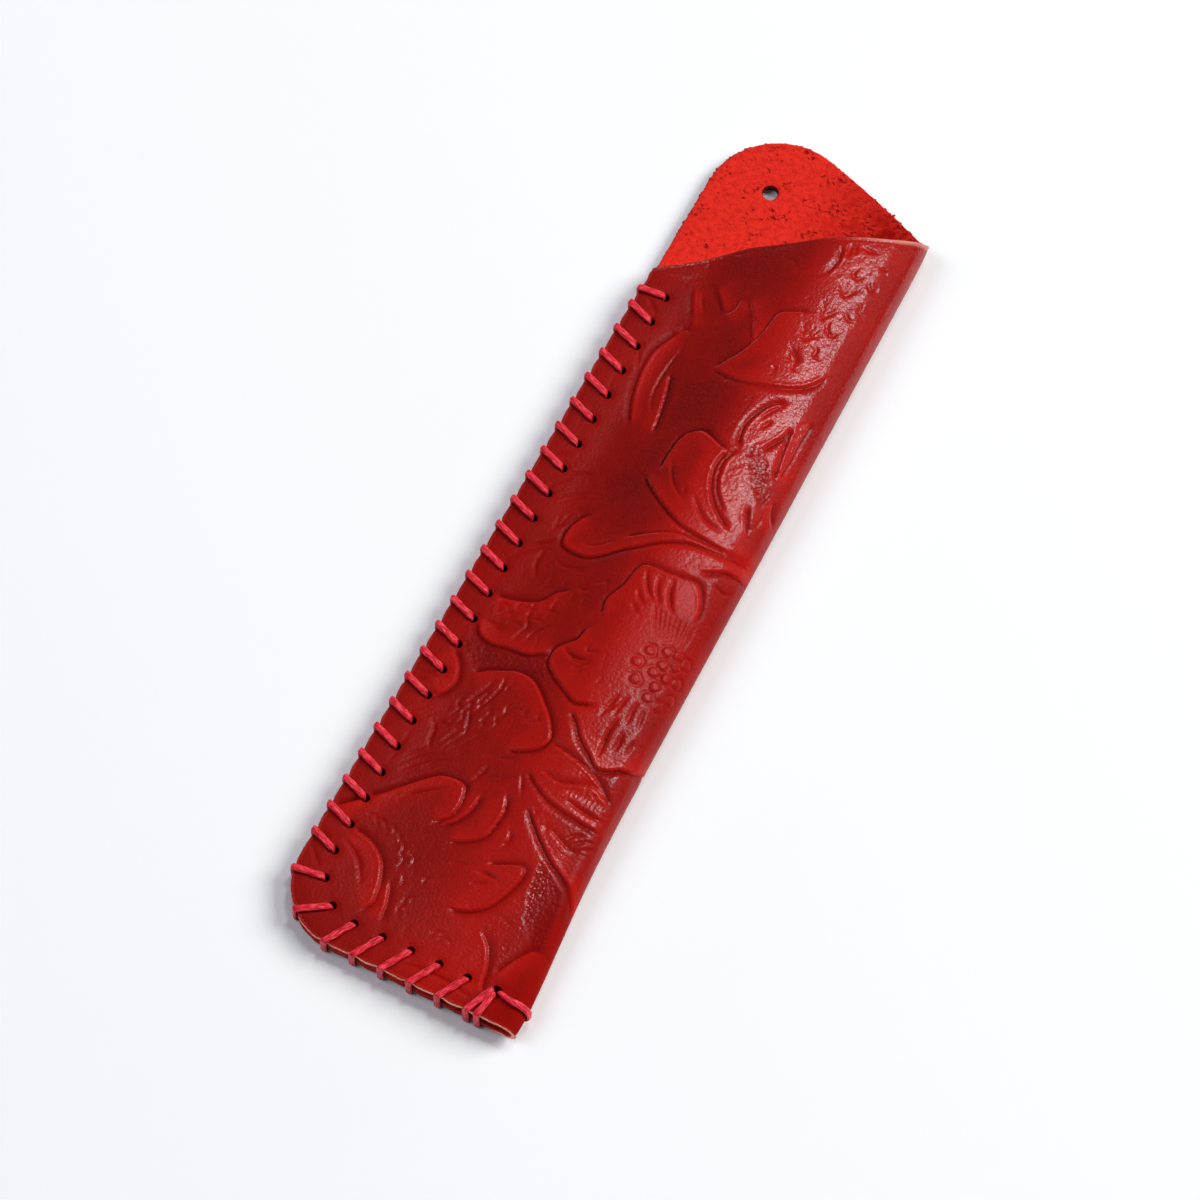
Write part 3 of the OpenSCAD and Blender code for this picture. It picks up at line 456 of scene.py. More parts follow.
class Tooling:
    """Relief of the tooled blank, as heights over a fine grid of (distance over the leather, y)."""

    step = 0.14

    def __init__(self, scale):
        self.scale = scale
        self.s = np.arange(0.0, 98.0, self.step)
        self.y = np.arange(-1.0, 162.0, self.step)
        shape = (len(self.s), len(self.y))
        self.low = np.zeros(shape)
        self.high = np.zeros(shape)
        self.matting = np.zeros(shape)
        # Painted light and shade of the tooling: lighter on raised sides, darker on the pressed ground
        self.painted_light_shade = np.zeros(shape)

    def window(self, points, reach):
        """The part of the grid within reach of the points, and its places."""
        lo = np.min(points, axis=0) - reach
        hi = np.max(points, axis=0) + reach
        i = slice(*np.clip(np.searchsorted(self.s, [lo[0], hi[0]]), 0, len(self.s)))
        j = slice(*np.clip(np.searchsorted(self.y, [lo[1], hi[1]]), 0, len(self.y)))
        return i, j, *np.meshgrid(self.s[i], self.y[j], indexing="ij")

    def near(self, line, reach):
        """Distance to a line, the side of it and the distance along it, for the grid near it."""
        i, j, x, y = self.window(line, reach)
        best = np.full(x.shape, 1e9)
        side = np.zeros(x.shape)
        along = np.zeros(x.shape)
        done = 0.0
        for a, b in zip(line[:-1], line[1:]):
            way = b - a
            length = float(np.hypot(*way))
            t = np.clip(((x - a[0]) * way[0] + (y - a[1]) * way[1]) / length ** 2, 0, 1)
            dx, dy = x - a[0] - t * way[0], y - a[1] - t * way[1]
            d = dx * dx + dy * dy
            closer = d < best
            best = np.where(closer, d, best)
            side = np.where(closer, way[0] * (y - a[1]) - way[1] * (x - a[0]), side)
            along = np.where(closer, done + t * length, along)
            done += length
        return i, j, np.sqrt(best), side, along, done

    def bevel(self, low_side, depth, points, wide=1.45, narrow=0.15, lip=0.07):
        """A cut outline whose ground side is pressed down in a ramp, with a lip on the other side."""
        i, j, d, side, along, length = self.near(smooth_line(points), 4.5 if wide > 1 else 1.6)
        fade = rise(np.minimum(along, length - along), -0.25, 1.3)
        low = (side > 0) if low_side == "L" else (side < 0)
        ramp = np.clip(1 - d / wide, 0, 1) ** 2
        wall = bell(d, narrow)
        self.low[i, j] = np.minimum(self.low[i, j], -depth * fade * np.where(low, ramp, wall))
        rim = lip * fade * bell(d - 0.42, 0.3) * ~low
        self.high[i, j] = np.maximum(self.high[i, j], rim)
        if wide > 1:
            # Painted light and shade: the raised side of a wide outline is drawn lighter and its pressed
            # ramp darker
            painted_relief_light = np.where(low, -0.45 * bell(d, 0.9), bell(d, 2.6)) * fade
            stronger = np.abs(painted_relief_light) > np.abs(self.painted_light_shade[i, j])
            self.painted_light_shade[i, j] = np.where(stronger, painted_relief_light, self.painted_light_shade[i, j])

    def cut(self, depth, points, width=0.27):
        """A knife cut that swells in the middle and tapers to its ends."""
        i, j, d, _, along, length = self.near(smooth_line(points), 1.4)
        share = np.clip(along / length, 0, 1)
        swell = 0.25 + 0.75 * np.sin(np.pi * share) ** 0.7
        groove = depth * swell * bell(d, width * (0.6 + 0.5 * swell))
        self.low[i, j] = np.minimum(self.low[i, j], -groove)

    def crescent(self, x, y, opens):
        """A small curved stamp, sharp on its inner side and sloping on its outer side."""
        centre = np.array([x, y]) - 0.6 * turned(opens)
        arc = centre + 1.1 * turned(opens + np.linspace(-70, 70, 7)).T
        self.bevel("R", 0.30, arc, wide=0.45, narrow=0.12, lip=0.1)

    def bead(self, x, y, r):
        """A round dome inside a sharp ring."""
        i, j, gx, gy = self.window([(x, y)], r + 0.8)
        d = np.hypot(gx - x, gy - y)
        dome = 0.07 * np.sqrt(np.clip(1 - (d / r) ** 2, 0, 1))
        ring = -0.26 * bell(d - r * 0.98, 0.12)
        inside = d < r
        self.low[i, j] = np.where(inside, np.minimum(0, ring), np.minimum(self.low[i, j], ring))
        self.high[i, j] = np.where(inside, dome, self.high[i, j])

    def mat(self, strength, outline):
        """Mark the ground inside an outline as matted, fading out at its edge."""
        i, j, x, y = self.window(outline, 0.6)
        inside, d = within(x, y, outline)
        amount = strength * np.where(inside, np.clip(d / 0.5, 0, 1), 0)
        self.matting[i, j] = np.maximum(self.matting[i, j], amount)

    def draw(self, place):
        """Tool the whole pattern, moved by place(points)."""
        for low_side, depth, points in BEVELS:
            self.bevel(low_side, depth, place(points))
        for depth, points in CUTS:
            self.cut(depth, place(points))
        for x, y, opens in CRESCENTS:
            at, to = place([(x, y), np.array([x, y]) + turned(opens)])
            self.crescent(*at, np.degrees(np.arctan2(to[1] - at[1], to[0] - at[0])))
        hatches = [np.array([a, b]) + k * np.array(step)
                   for a, b, step, count in HATCHES for k in range(count)]
        fans = [(hub, tip) for hub, tips in FANS for tip in tips]
        for (depth, width), lines in ((HATCH_CUT, hatches), (SHELL_CUT, SHELL_ROWS), (STROKE_CUT, STROKES),
                                      (FAN_CUT, fans)):
            for points in lines:
                self.cut(depth, place(points), width)
        for bead in place(BEADS):
            self.bead(*bead, BEAD_R)
        for strength, outline in MATTED:
            self.mat(strength, place(outline))

    def wear(self, rng):
        """Faint creases and pricks that the hide and its use have left."""
        for _ in range(420):
            at = rng.uniform([3, 3], [95, 150])
            turn = rng.normal(1.1, 0.7)
            bow = rng.uniform(-0.35, 0.35)
            way = np.array([np.cos(turn), np.sin(turn)]) * rng.uniform(0.8, 2.4)
            side = np.array([-way[1], way[0]]) * bow
            self.cut(rng.uniform(0.03, 0.09), [at - way, at + side, at + way], 0.2)
        for x, y, depth in rng.uniform([2, 2, 0.05], [96, 150, 0.16], (900, 3)):
            i, j, gx, gy = self.window([(x, y)], 0.5)
            self.low[i, j] -= depth * bell(np.hypot(gx - x, gy - y), 0.17)

    def stamp_mats(self, rng):
        """Press the matting stamp's round points over the matted ground."""
        for _ in range(2):
            x, y = np.meshgrid(np.arange(1, 97, 0.8), np.arange(1, 160, 0.8), indexing="ij")
            x = (x + rng.uniform(-0.3, 0.3, x.shape)).ravel()
            y = (y + rng.uniform(-0.3, 0.3, y.shape)).ravel()
            strength = self.sample(self.matting, x, y)
            for px, py, amount in np.stack([x, y, strength], 1)[strength > 0.2]:
                i, j, gx, gy = self.window([(px, py)], 0.5)
                dent = 0.07 * amount * bell(np.hypot(gx - px, gy - py), 0.27)
                self.low[i, j] = np.minimum(self.low[i, j], self.low[i, j] * 0.75 - dent)

    def sample(self, grid, s, y):
        """Values of a grid at any places, blended between its four nearest points."""
        fs = np.clip((s - self.s[0]) / self.step, 0, len(self.s) - 1.001)
        fy = np.clip((y - self.y[0]) / self.step, 0, len(self.y) - 1.001)
        i, j = fs.astype(int), fy.astype(int)
        u, v = fs - i, fy - j
        return ((1 - u) * (1 - v) * grid[i, j] + u * (1 - v) * grid[i + 1, j]
                + (1 - u) * v * grid[i, j + 1] + u * v * grid[i + 1, j + 1])

    def height(self, s, y):
        """Height of the tooled surface over the plain leather."""
        return self.scale * (self.sample(self.low, s, y) + self.sample(self.high, s, y))


def half_turn(points):
    """Place the pattern over the back, turned half round."""
    return np.array([97.5, 146.0]) - np.array(points, float)


# ---------------------------------------------------------------------------------------------
# Mesh of the blank: a grid over each face, zipped to the outline and to the rims of the holes
# ---------------------------------------------------------------------------------------------
def blank_outline():
    """The edge of the flat blank as (distance over the leather, y), with the leather to its left."""
    arc = np.radians(np.linspace(0, 90, 60))
    corner_x, corner_y = CORNER_R * (1 - np.cos(arc)), CORNER_R * (1 - np.sin(arc))
    parts = [np.stack([corner_x, corner_y], 1)]
    whole = float(lengths(0.0)[3])
    parts.append(np.stack([np.linspace(CORNER_R, whole - CORNER_R, 300), np.zeros(300)], 1))
    back = lambda x, y: np.stack([lengths(y)[3] - x, y], 1)
    parts.append(back(corner_x[::-1], corner_y[::-1]))
    side_y = np.linspace(CORNER_R, SEAM_LEN, 300)
    parts.append(back(0 * side_y, side_y))
    side_y = np.linspace(SEAM_LEN + TAB_INSET, TAB_Y, 60)
    parts.append(back(TAB_INSET + 0 * side_y, side_y))
    arc = np.pi - np.linspace(0, np.pi / 2 + TAB_ANGLE, 120)
    parts.append(back(TAB_X + TAB_R * np.cos(arc), TAB_Y + TAB_R * np.sin(arc)))
    over = np.linspace(TAB_JOIN, M_FOLD_END, 80)
    parts.append(back(M_CENTRE - (over - M_FOLD_END), cut_y(over)))
    share = np.linspace(1, 0, 60)
    for form in (3, 2, 1, 0):
        starts = [0, MARGIN_W, M_RISE_END, M_RUN_END, M_FOLD_END]
        y = cut_y(starts[form] + share * (starts[form + 1] - starts[form]))
        here = [0 * y, MARGIN_W + 0 * y, *lengths(y)[:3]]
        x = here[form] + share * (here[form + 1] - here[form])
        # The knife ran a little high where the front starts to rise
        parts.append(np.stack([x, y + 1.5 * bell(x - 12.5, 6)], 1))
    side_y = np.linspace(SEAM_LEN, CORNER_R, 300)
    parts.append(np.stack([0 * side_y, side_y], 1))
    line = np.vstack(parts)
    keep = np.concatenate([[True], np.linalg.norm(np.diff(line, axis=0), axis=1) > 1e-6])
    return line[keep]


def evenly(line, step):
    """Evenly spaced points on a closed line."""
    closed = np.vstack([line, line[:1]])
    run = np.concatenate([[0], np.cumsum(np.linalg.norm(np.diff(closed, axis=0), axis=1))])
    at = np.linspace(0, run[-1], int(round(run[-1] / step)), endpoint=False)
    return np.stack([np.interp(at, run, closed[:, i]) for i in (0, 1)], 1)


def inset(loop, distance):
    """The closed loop moved to its left."""
    way = np.roll(loop, -1, axis=0) - np.roll(loop, 1, axis=0)
    way /= np.linalg.norm(way, axis=1)[:, None]
    return loop + distance * np.stack([-way[:, 1], way[:, 0]], 1)


def edge_distance(s, y, outline):
    """Distance inside the blank's edge, negative outside it."""
    s, y = np.asarray(s, float), np.asarray(y, float)
    x_back = lengths(y)[3] - s
    d = np.minimum(np.minimum(s, x_back), y)
    for x in (s, x_back):
        at_corner = (x < CORNER_R) & (y < CORNER_R)
        d = np.where(at_corner, CORNER_R - np.hypot(CORNER_R - x, CORNER_R - y), d)
    near_top = y > SEAM_LEN - 3
    top = outline[outline[:, 1] > SEAM_LEN - 6]
    px, py = s[near_top], y[near_top]
    # The line that closes the top is no edge, so its one long side is left out
    inside, near = within(px, py, top, longest=8)
    d[near_top] = np.where(inside, near, -near)
    return d


def hole_centres():
    """Each hole in each layer: distance over the leather, y, x, radius, and 1 for the front or -1."""
    found = []
    for centre, r in STITCH_HOLES:
        from_turn = centre - TURN_CENTRE
        if from_turn[1] > 3.5:
            pull = np.array([-1.0, 0])
        elif from_turn[0] > 3:
            pull = np.array([0, -1.0])
        else:
            pull = from_turn / CORNER_TURN_R
        x, y = centre + HOLE_PULL * pull
        r = r - HOLE_PULL
        found.append((front_distance(x, y, 0.0), y, x, r, 1))
        found.append((float(lengths(y)[3]) - x, y, x, r, -1))
    (x, y), r = HANG_HOLE
    found.append((float(lengths(y)[3]) - x, y, x, r, -1))
    return found


def front_distance(x, y, off):
    """Distance over the leather of the front's point that stands over x."""
    s = np.array(x, float)
    for _ in range(8):
        s = s - (leather_at(s, y, off)[..., 0] - x)
    return s if s.ndim else float(s)


def hole_ring(hole, r, off, count):
    """A ring of points round a hole, in order against the clock over the blank."""
    _, y, x, _, layer = hole
    turn = np.arange(count) * 2 * np.pi / count
    ring_y = y + r * np.sin(turn)
    if layer > 0:
        s = front_distance(x + r * np.cos(turn), ring_y, off)
    else:
        s = lengths(ring_y)[3] - x + r * np.cos(turn)
    return np.stack([s, ring_y], 1)


def boundary_loops(keep):
    """Loops of grid corners round the kept cells, with the cells to their left."""
    wide = np.pad(keep, 1)
    ahead = {}
    for i, j in np.argwhere(keep):
        if not wide[i + 1, j]:
            ahead[(i, j)] = (i + 1, j)
        if not wide[i + 1, j + 2]:
            ahead[(i + 1, j + 1)] = (i, j + 1)
        if not wide[i, j + 1]:
            ahead[(i, j + 1)] = (i, j)
        if not wide[i + 2, j + 1]:
            ahead[(i + 1, j)] = (i + 1, j + 1)
    loops = []
    while ahead:
        start = next(iter(ahead))
        loop = [start]
        here = ahead.pop(start)
        while here != start:
            loop.append(here)
            here = ahead.pop(here)
        loops.append(loop)
    return loops


def zip_loops(p, q, p_ids, q_ids):
    """Triangles between two closed loops that run the same way, with the leather from p to q."""
    n, m = len(p), len(q)
    near = np.array([np.argmin(((p - point) ** 2).sum(axis=1)) for point in q])
    start = int(np.argmin(((q - p[0]) ** 2).sum(axis=1)))
    near, q_ids = np.roll(near, -start), np.roll(q_ids, -start)
    first = (near[0] + n // 2) % n - n // 2
    steps = (np.diff(near) + n // 2) % n - n // 2
    place = np.maximum.accumulate(np.concatenate([[first], first + np.cumsum(steps)]))
    place = np.append(place, place[0] + n)
    i = j = 0
    faces = []
    while i < n or j < m:
        if j >= m or (i < n and i + 0.5 <= (place[j] + place[j + 1]) / 2):
            faces.append((p_ids[i % n], p_ids[(i + 1) % n], q_ids[j % m]))
            i += 1
        else:
            faces.append((p_ids[i % n], q_ids[(j + 1) % m], q_ids[j % m]))
            j += 1
    return faces


def face_grid(s_lines, y_lines, outline, holes, margin):
    """Corners and cells of the grid that lie clear of the outline and of the holes."""
    gs, gy = np.meshgrid(s_lines, y_lines, indexing="ij")
    clear = edge_distance(gs.ravel(), gy.ravel(), outline).reshape(gs.shape) > margin
    for s, y, _, r, _ in holes:
        near = (np.abs(gs - s) < r + 2) & (np.abs(gy - y) < r + 2)
        clear &= ~(near & (np.hypot(gs - s, gy - y) < r + margin))
    cells = clear[:-1, :-1] & clear[1:, :-1] & clear[:-1, 1:] & clear[1:, 1:]
    while True:
        a, b, c, d = cells[:-1, :-1], cells[1:, :-1], cells[:-1, 1:], cells[1:, 1:]
        cross = (a & d & ~b & ~c) | (b & c & ~a & ~d)
        if not cross.any():
            return gs, gy, cells
        for i, j in np.argwhere(cross):
            cells[i:i + 2, j:j + 2] = False


class Shell:
    """Points and faces of the blank as they are gathered."""

    def __init__(self):
        self.flat = []
        self.off = []
        self.faces = []
        self.finish = []
        self.count = 0

    def add(self, flat, off):
        """Add points by their place on the flat blank and their height over its middle."""
        flat = np.asarray(flat, float).reshape(-1, 2)
        self.flat.append(flat)
        self.off.append(np.broadcast_to(np.asarray(off, float), (len(flat),)).copy())
        ids = np.arange(self.count, self.count + len(flat))
        self.count += len(flat)
        return ids

    def face(self, faces, finish):
        """Add faces of one finish."""
        self.faces.extend(tuple(int(v) for v in face) for face in faces)
        self.finish.extend([finish] * len(faces))

    def join(self, ring_a, ring_b, finish):
        """Quads from one ring to the next, for rings in the order top to bottom of an edge."""
        self.face(np.stack([ring_a, ring_b, np.roll(ring_b, -1), np.roll(ring_a, -1)], 1), finish)


GRAIN, FLESH, EDGE, HOLE = 0, 1, 2, 3
# Distance over the leather at which the fold has turned under
FOLD_TO = 54


def stitch_pull(s, y):
    """How far each point near the stitched edges is drawn in by the stitches, or bulges between them."""
    front = s < 45
    x = np.where(front, s, lengths(y)[3] - s)
    turn = np.arctan2(CORNER_R - x, CORNER_R - y)
    at_corner = (x < CORNER_R) & (y < CORNER_R)
    side = (y >= CORNER_R) & (x < y)
    run = np.where(at_corner, CORNER_R * turn, np.where(side, CORNER_LEN + y - CORNER_R, CORNER_R - x))
    inside = np.where(at_corner, CORNER_R - np.hypot(CORNER_R - x, CORNER_R - y), np.where(side, x, y))
    away = np.min([np.abs(run - k) for k in edge_crossings()], axis=0)
    out = (0.13 - 0.26 * bell(away, 1.1)) * bell(np.clip(inside, 0, 9), 1.3)
    out = np.where((y > SEAM_LEN - 1) | (run < CORNER_R - BOTTOM_W + 9), 0, out)
    out_x = np.where(at_corner, -np.sin(turn), np.where(side, -1, 0)) * out
    out_y = np.where(at_corner, -np.cos(turn), np.where(side, 0, -1)) * out
    return np.where(front, out_x, -out_x), out_y


def build_blank(sizes, tooling, rng):
    """The folded blank: its points, faces, finishes and the marks that the leather's finish reads."""
    outline = blank_outline()
    coarse = evenly(outline, 1.0)
    rim = evenly(outline, 0.3)
    holes = hole_centres()
    shell = Shell()
    round_off = sizes.edge_round / MM

    # Grid lines: fine over the front and the fold, wider over the back
    s_front = np.arange(0.1, 56.0, 0.27)
    s_back = np.arange(s_front[-1] + 0.45, 97.5, 0.5)
    y_lines = np.arange(0.1, CASE_LEN, 0.27)
    top = face_grid(np.concatenate([s_front, s_back]), y_lines, coarse, holes, 0.42)
    under = face_grid(np.arange(0.1, 97.5, 0.62), np.arange(0.1, CASE_LEN, 0.58), coarse, holes, 0.55)

    def lay(grid, off, outer):
        """Add a face's grid and give its loops back."""
        gs, gy, cells = grid
        n, m = cells.shape
        used = np.zeros(gs.shape, bool)
        for di, dj in ((0, 0), (0, 1), (1, 0), (1, 1)):
            used[di:di + n, dj:dj + m] |= cells
        ids = np.full(gs.shape, -1)
        ids[used] = shell.add(np.stack([gs[used], gy[used]], 1), off)
        a, b = ids[:-1, :-1][cells], ids[1:, :-1][cells]
        c, d = ids[1:, 1:][cells], ids[:-1, 1:][cells]
        quads = np.stack([a, b, c, d] if outer else [a, d, c, b], 1)
        shell.face(quads, GRAIN if outer else FLESH)
        loops = []
        for loop in boundary_loops(cells):
            i, j = np.array(loop).T
            loops.append((np.stack([gs[i, j], gy[i, j]], 1), ids[i, j]))
        return loops

    top_loops = lay(top, HALF, True)
    under_loops = lay(under, -HALF, False)

    # Edge of the blank: rounded over on both faces, with the raw section between
    on_tab = rise(rim[:, 1], SEAM_LEN + 4, 3) * (rim[:, 0] > M_FOLD_END)
    wave = 0.04 * np.sin(np.arange(len(rim)) * 0.61) + rng.uniform(-0.03, 0.03, len(rim))
    wave -= on_tab * np.maximum(0, rng.normal(0, 0.13, len(rim)))
    wave = wave[:, None]
    levels = [(0.26, HALF - 0.03), (0.07, HALF - round_off * 0.45), (wave, HALF - round_off),
              (wave - 0.02, 0.0), (wave, -HALF + round_off), (0.07, -HALF + round_off * 0.4),
              (0.26, -HALF + 0.02)]
    rings = [shell.add(inset(rim, into), off) for into, off in levels]
    border = inset(rim, levels[0][0])
    for loops, ring, turn, finish in ((top_loops, rings[0], 1, GRAIN), (under_loops, rings[-1], -1, FLESH)):
        loop, ids = max(loops, key=lambda found: len(found[0]))
        shell.face([face[::turn] for face in zip_loops(border, loop, ring, ids)], finish)
    for k, (upper, lower) in enumerate(zip(rings[:-1], rings[1:])):
        shell.join(upper, lower, GRAIN if k == 0 else (FLESH if k == 5 else EDGE))

    # Rims of the holes, pressed in where the thread bears on them
    for hole in holes:
        r = hole[3]
        count = 28 if r > 1 else 22
        levels = [(r + 0.24, HALF - 0.05), (r + 0.05, HALF - 0.16), (r, HALF - 0.32), (r, -HALF + 0.2),
                  (r + 0.15, -HALF + 0.02)]
        flats = [hole_ring(hole, ring_r, off, count)[::-1] for ring_r, off in levels]
        rings = [shell.add(flat, off) for flat, (_, off) in zip(flats, levels)]
        for loops, k, turn, finish in ((top_loops, 0, 1, GRAIN), (under_loops, -1, -1, FLESH)):
            middle = flats[k].mean(axis=0)
            loop, ids = min(loops, key=lambda found: np.linalg.norm(found[0].mean(axis=0) - middle))
            shell.face([face[::turn] for face in zip_loops(flats[k], loop, rings[k], ids)], finish)
        for k, (upper, lower) in enumerate(zip(rings[:-1], rings[1:])):
            shell.join(upper, lower, GRAIN if k == 0 else HOLE)

    flat, off = np.vstack(shell.flat), np.concatenate(shell.off)
    points, marks = shape_blank(flat, off, edge_distance(*flat.T, coarse), holes, tooling)
    return points, shell.faces, shell.finish, flat, marks


def shape_blank(flat, off, d, holes, tooling):
    """Where each point of the folded blank lies, with its relief, and the marks that the finishes read."""
    s, y = flat.T
    outer = off > 0.2
    on_face = np.abs(off) > HALF - 0.1
    round_fold = np.clip((FOLD_TO - s) / 4, 0, 1)

    # The tooling keeps off the rims, and the thread presses the leather between each hole and the edge
    calm = np.ones(len(s))
    press = np.zeros(len(s))
    for hs, hy, _, r, _ in holes[:-1]:
        away = np.hypot(s - hs, y - hy) - r
        calm = np.minimum(calm, np.clip(away / 0.8, 0, 1))
        press = np.minimum(press, -0.16 * np.exp(-np.clip(away, 0, 9) / 0.45))
    # The fold has stretched the tooling flatter
    stretched = 1 - 0.6 * rise(s, 39, 4) * round_fold
    relief = tooling.height(s, y) * calm * stretched * np.clip(d / 0.6, 0.15, 1)
    rounded = -0.32 * np.exp(-np.clip(d, 0, 20) / 1.9)
    # The flesh side of the tab is a little uneven
    tab = rise(y, 131, 4) * (s > M_FOLD_END - 4)
    sag = 0.06 * np.sin(s * 0.9 + 1) * np.sin(y * 0.7) + 0.04 * np.sin(s * 2.1) * np.sin(y * 1.9 + 2)
    lift = np.where(outer, relief + press + rounded, 0)
    lift = np.where(off < -HALF + 0.01, 0.5 * tab * np.abs(sag), lift)
    lifted = np.where(on_face, off + lift, off)
    pull_s, pull_y = stitch_pull(s, y)
    points = leather_at(s + pull_s, y + pull_y, lifted)

    # Painted light: the front's high middle is drawn lighter; painted shade: the hollow by its upper seam is
    # drawn darker
    crown_light_and_shade = bell(s - 30, 7.5) - 0.2 * bell(s - 15, 9) * rise(y, 68, 10) * (s < 45)
    # The wax is rubbed in by hand: little of it reaches the stitched margin or the low end of the fold
    wax = np.clip(1 - 0.72 * bell(np.clip(d - 3, 0, 20), 7.5), 0, 1)
    wax = np.where(s > 30, np.maximum(wax, rise(y, 6, 4)), wax)
    wax = np.where(y > SEAM_LEN, 1, wax)
    wax *= 1 - 0.85 * rise(s, 36.5, 2.5) * rise(y, 34, -16)
    wax *= 1 - 0.6 * rise(s, 39.5, 3) * round_fold
    wax *= 1 - 0.42 * bell(y - 70, 17)
    # The mouth's corner by the fold is worn down to the pale core
    at_corner = rise(y, SEAM_LEN - 1, 1.5) * rise(s, 27, 9)
    return points, {
        "relief": np.where(outer, relief, 0),
        "wax": wax,
        "matting": tooling.sample(tooling.matting, s, y) * outer,
        "painted_light_shade": tooling.sample(tooling.painted_light_shade, s, y) * outer + crown_light_and_shade,
        "worn": np.clip(1.2 - d / (0.18 + 0.5 * at_corner), 0, 1) * (0.08 + 0.92 * at_corner),
        "through": np.clip(0.5 - 0.5 * lifted / HALF, 0, 1),
        "back_layer": rise(s, FOLD_TO - 7, 3) * rise(y, SEAM_LEN, -4),
        # Where the flesh side is drawn darker by the fold as painted shade
        "near_fold": rise(s, 66, -16),
    }


# ---------------------------------------------------------------------------------------------
# The waxed thread: one flat thread that runs in and out of the holes and round the edge
# ---------------------------------------------------------------------------------------------
THREAD_HALF = THREAD_T / 2
OFF_LEATHER = THREAD_HALF + THREAD_CLEAR
UNDER_Z = LIFT - OFF_LEATHER
PASS_IN = HOLE_R - OFF_LEATHER - THREAD_CLEAR
LOCK_PASS_IN = LOCK_HOLE_R - OFF_LEATHER - 2 * THREAD_CLEAR
PASS_W, LOCK_PASS_W = 0.9, 0.5
BEND_R = 0.3
FRONT_TOP = FRONT_MID + HALF
UP = np.array([0.0, 0, 1])
DOWN = np.array([0.0, 0, -1])


def unit(v):
    """The vector at length 1."""
    v = np.asarray(v, float)
    return v / np.linalg.norm(v)


def at_height(p, z):
    """A place in the plane, lifted to a height."""
    return np.array([p[0], p[1], z])


def edge_out(run):
    """The way out of the leather at a distance along its edge."""
    return turned(270 - np.clip(np.degrees(run / CORNER_R), 0, 90))


def edge_point(run, out):
    """The point at a distance along the edge, moved out from it."""
    return (np.array([CORNER_R, CORNER_R]) + (CORNER_R + out) * edge_out(run)
            + np.array([max(0, -run), max(0, run - CORNER_LEN)]))


def front_z(x, y):
    """Height of the front's outer face."""
    _, _, slope, _ = section(y)
    r = RISE_R - HALF
    end_x = MARGIN_W + r * np.sin(slope)
    over = max(0, x - MARGIN_W)
    if x < end_x:
        return FRONT_MID + RISE_R - np.sqrt(r * r - over * over)
    return FRONT_MID + RISE_R - r * np.cos(slope) + (x - end_x) * np.tan(slope)


def station(at, way, out, width, thick):
    """One place on the thread: its point, the way it runs, the way its flat side faces, its size."""
    return (np.asarray(at, float), unit(way), unit(out), width, thick)


def bend(at, start, end):
    """Three stations that take the thread round an edge of the leather."""
    return [
        station(at - start[0] * BEND_R, *start),
        station(at + (end[0] - start[0]) * BEND_R * (1 - np.sqrt(0.5)), start[0] + end[0], start[1] + end[1],
                (start[2] + end[2]) / 2, (start[3] + end[3]) / 2),
        station(at + end[0] * BEND_R, *end),
    ]


def passing(hole, out, into, width):
    """The thread as it stands in a hole, against the wall on its outer side."""
    return hole + out * into, (UP, at_height(-out, 0), width, min(width, THREAD_T))


def whip(pass_a, run, pass_b):
    """One whip stitch: out of a hole, over the front, round the edge and back to the next hole."""
    a, b = pass_a[0], pass_b[0]
    edge, rest = edge_point(run, OFF_LEATHER), edge_point(run, 0)
    edge_end = (DOWN, at_height(edge_out(run), 0), THREAD_W, THREAD_T)
    top_a = at_height(a, front_z(*a) + OFF_LEATHER)
    top_e = at_height(edge, front_z(*rest) + OFF_LEATHER)
    under_e, under_b = at_height(edge, UNDER_Z), at_height(b, UNDER_Z)
    over = (unit(top_e - top_a), UP, THREAD_W, THREAD_T)
    back = (unit(under_b - under_e), DOWN, THREAD_W, THREAD_T)
    return (bend(top_a, pass_a[1], over) + bend(top_e, over, edge_end)
            + bend(under_e, edge_end, back) + bend(under_b, back, pass_b[1]))


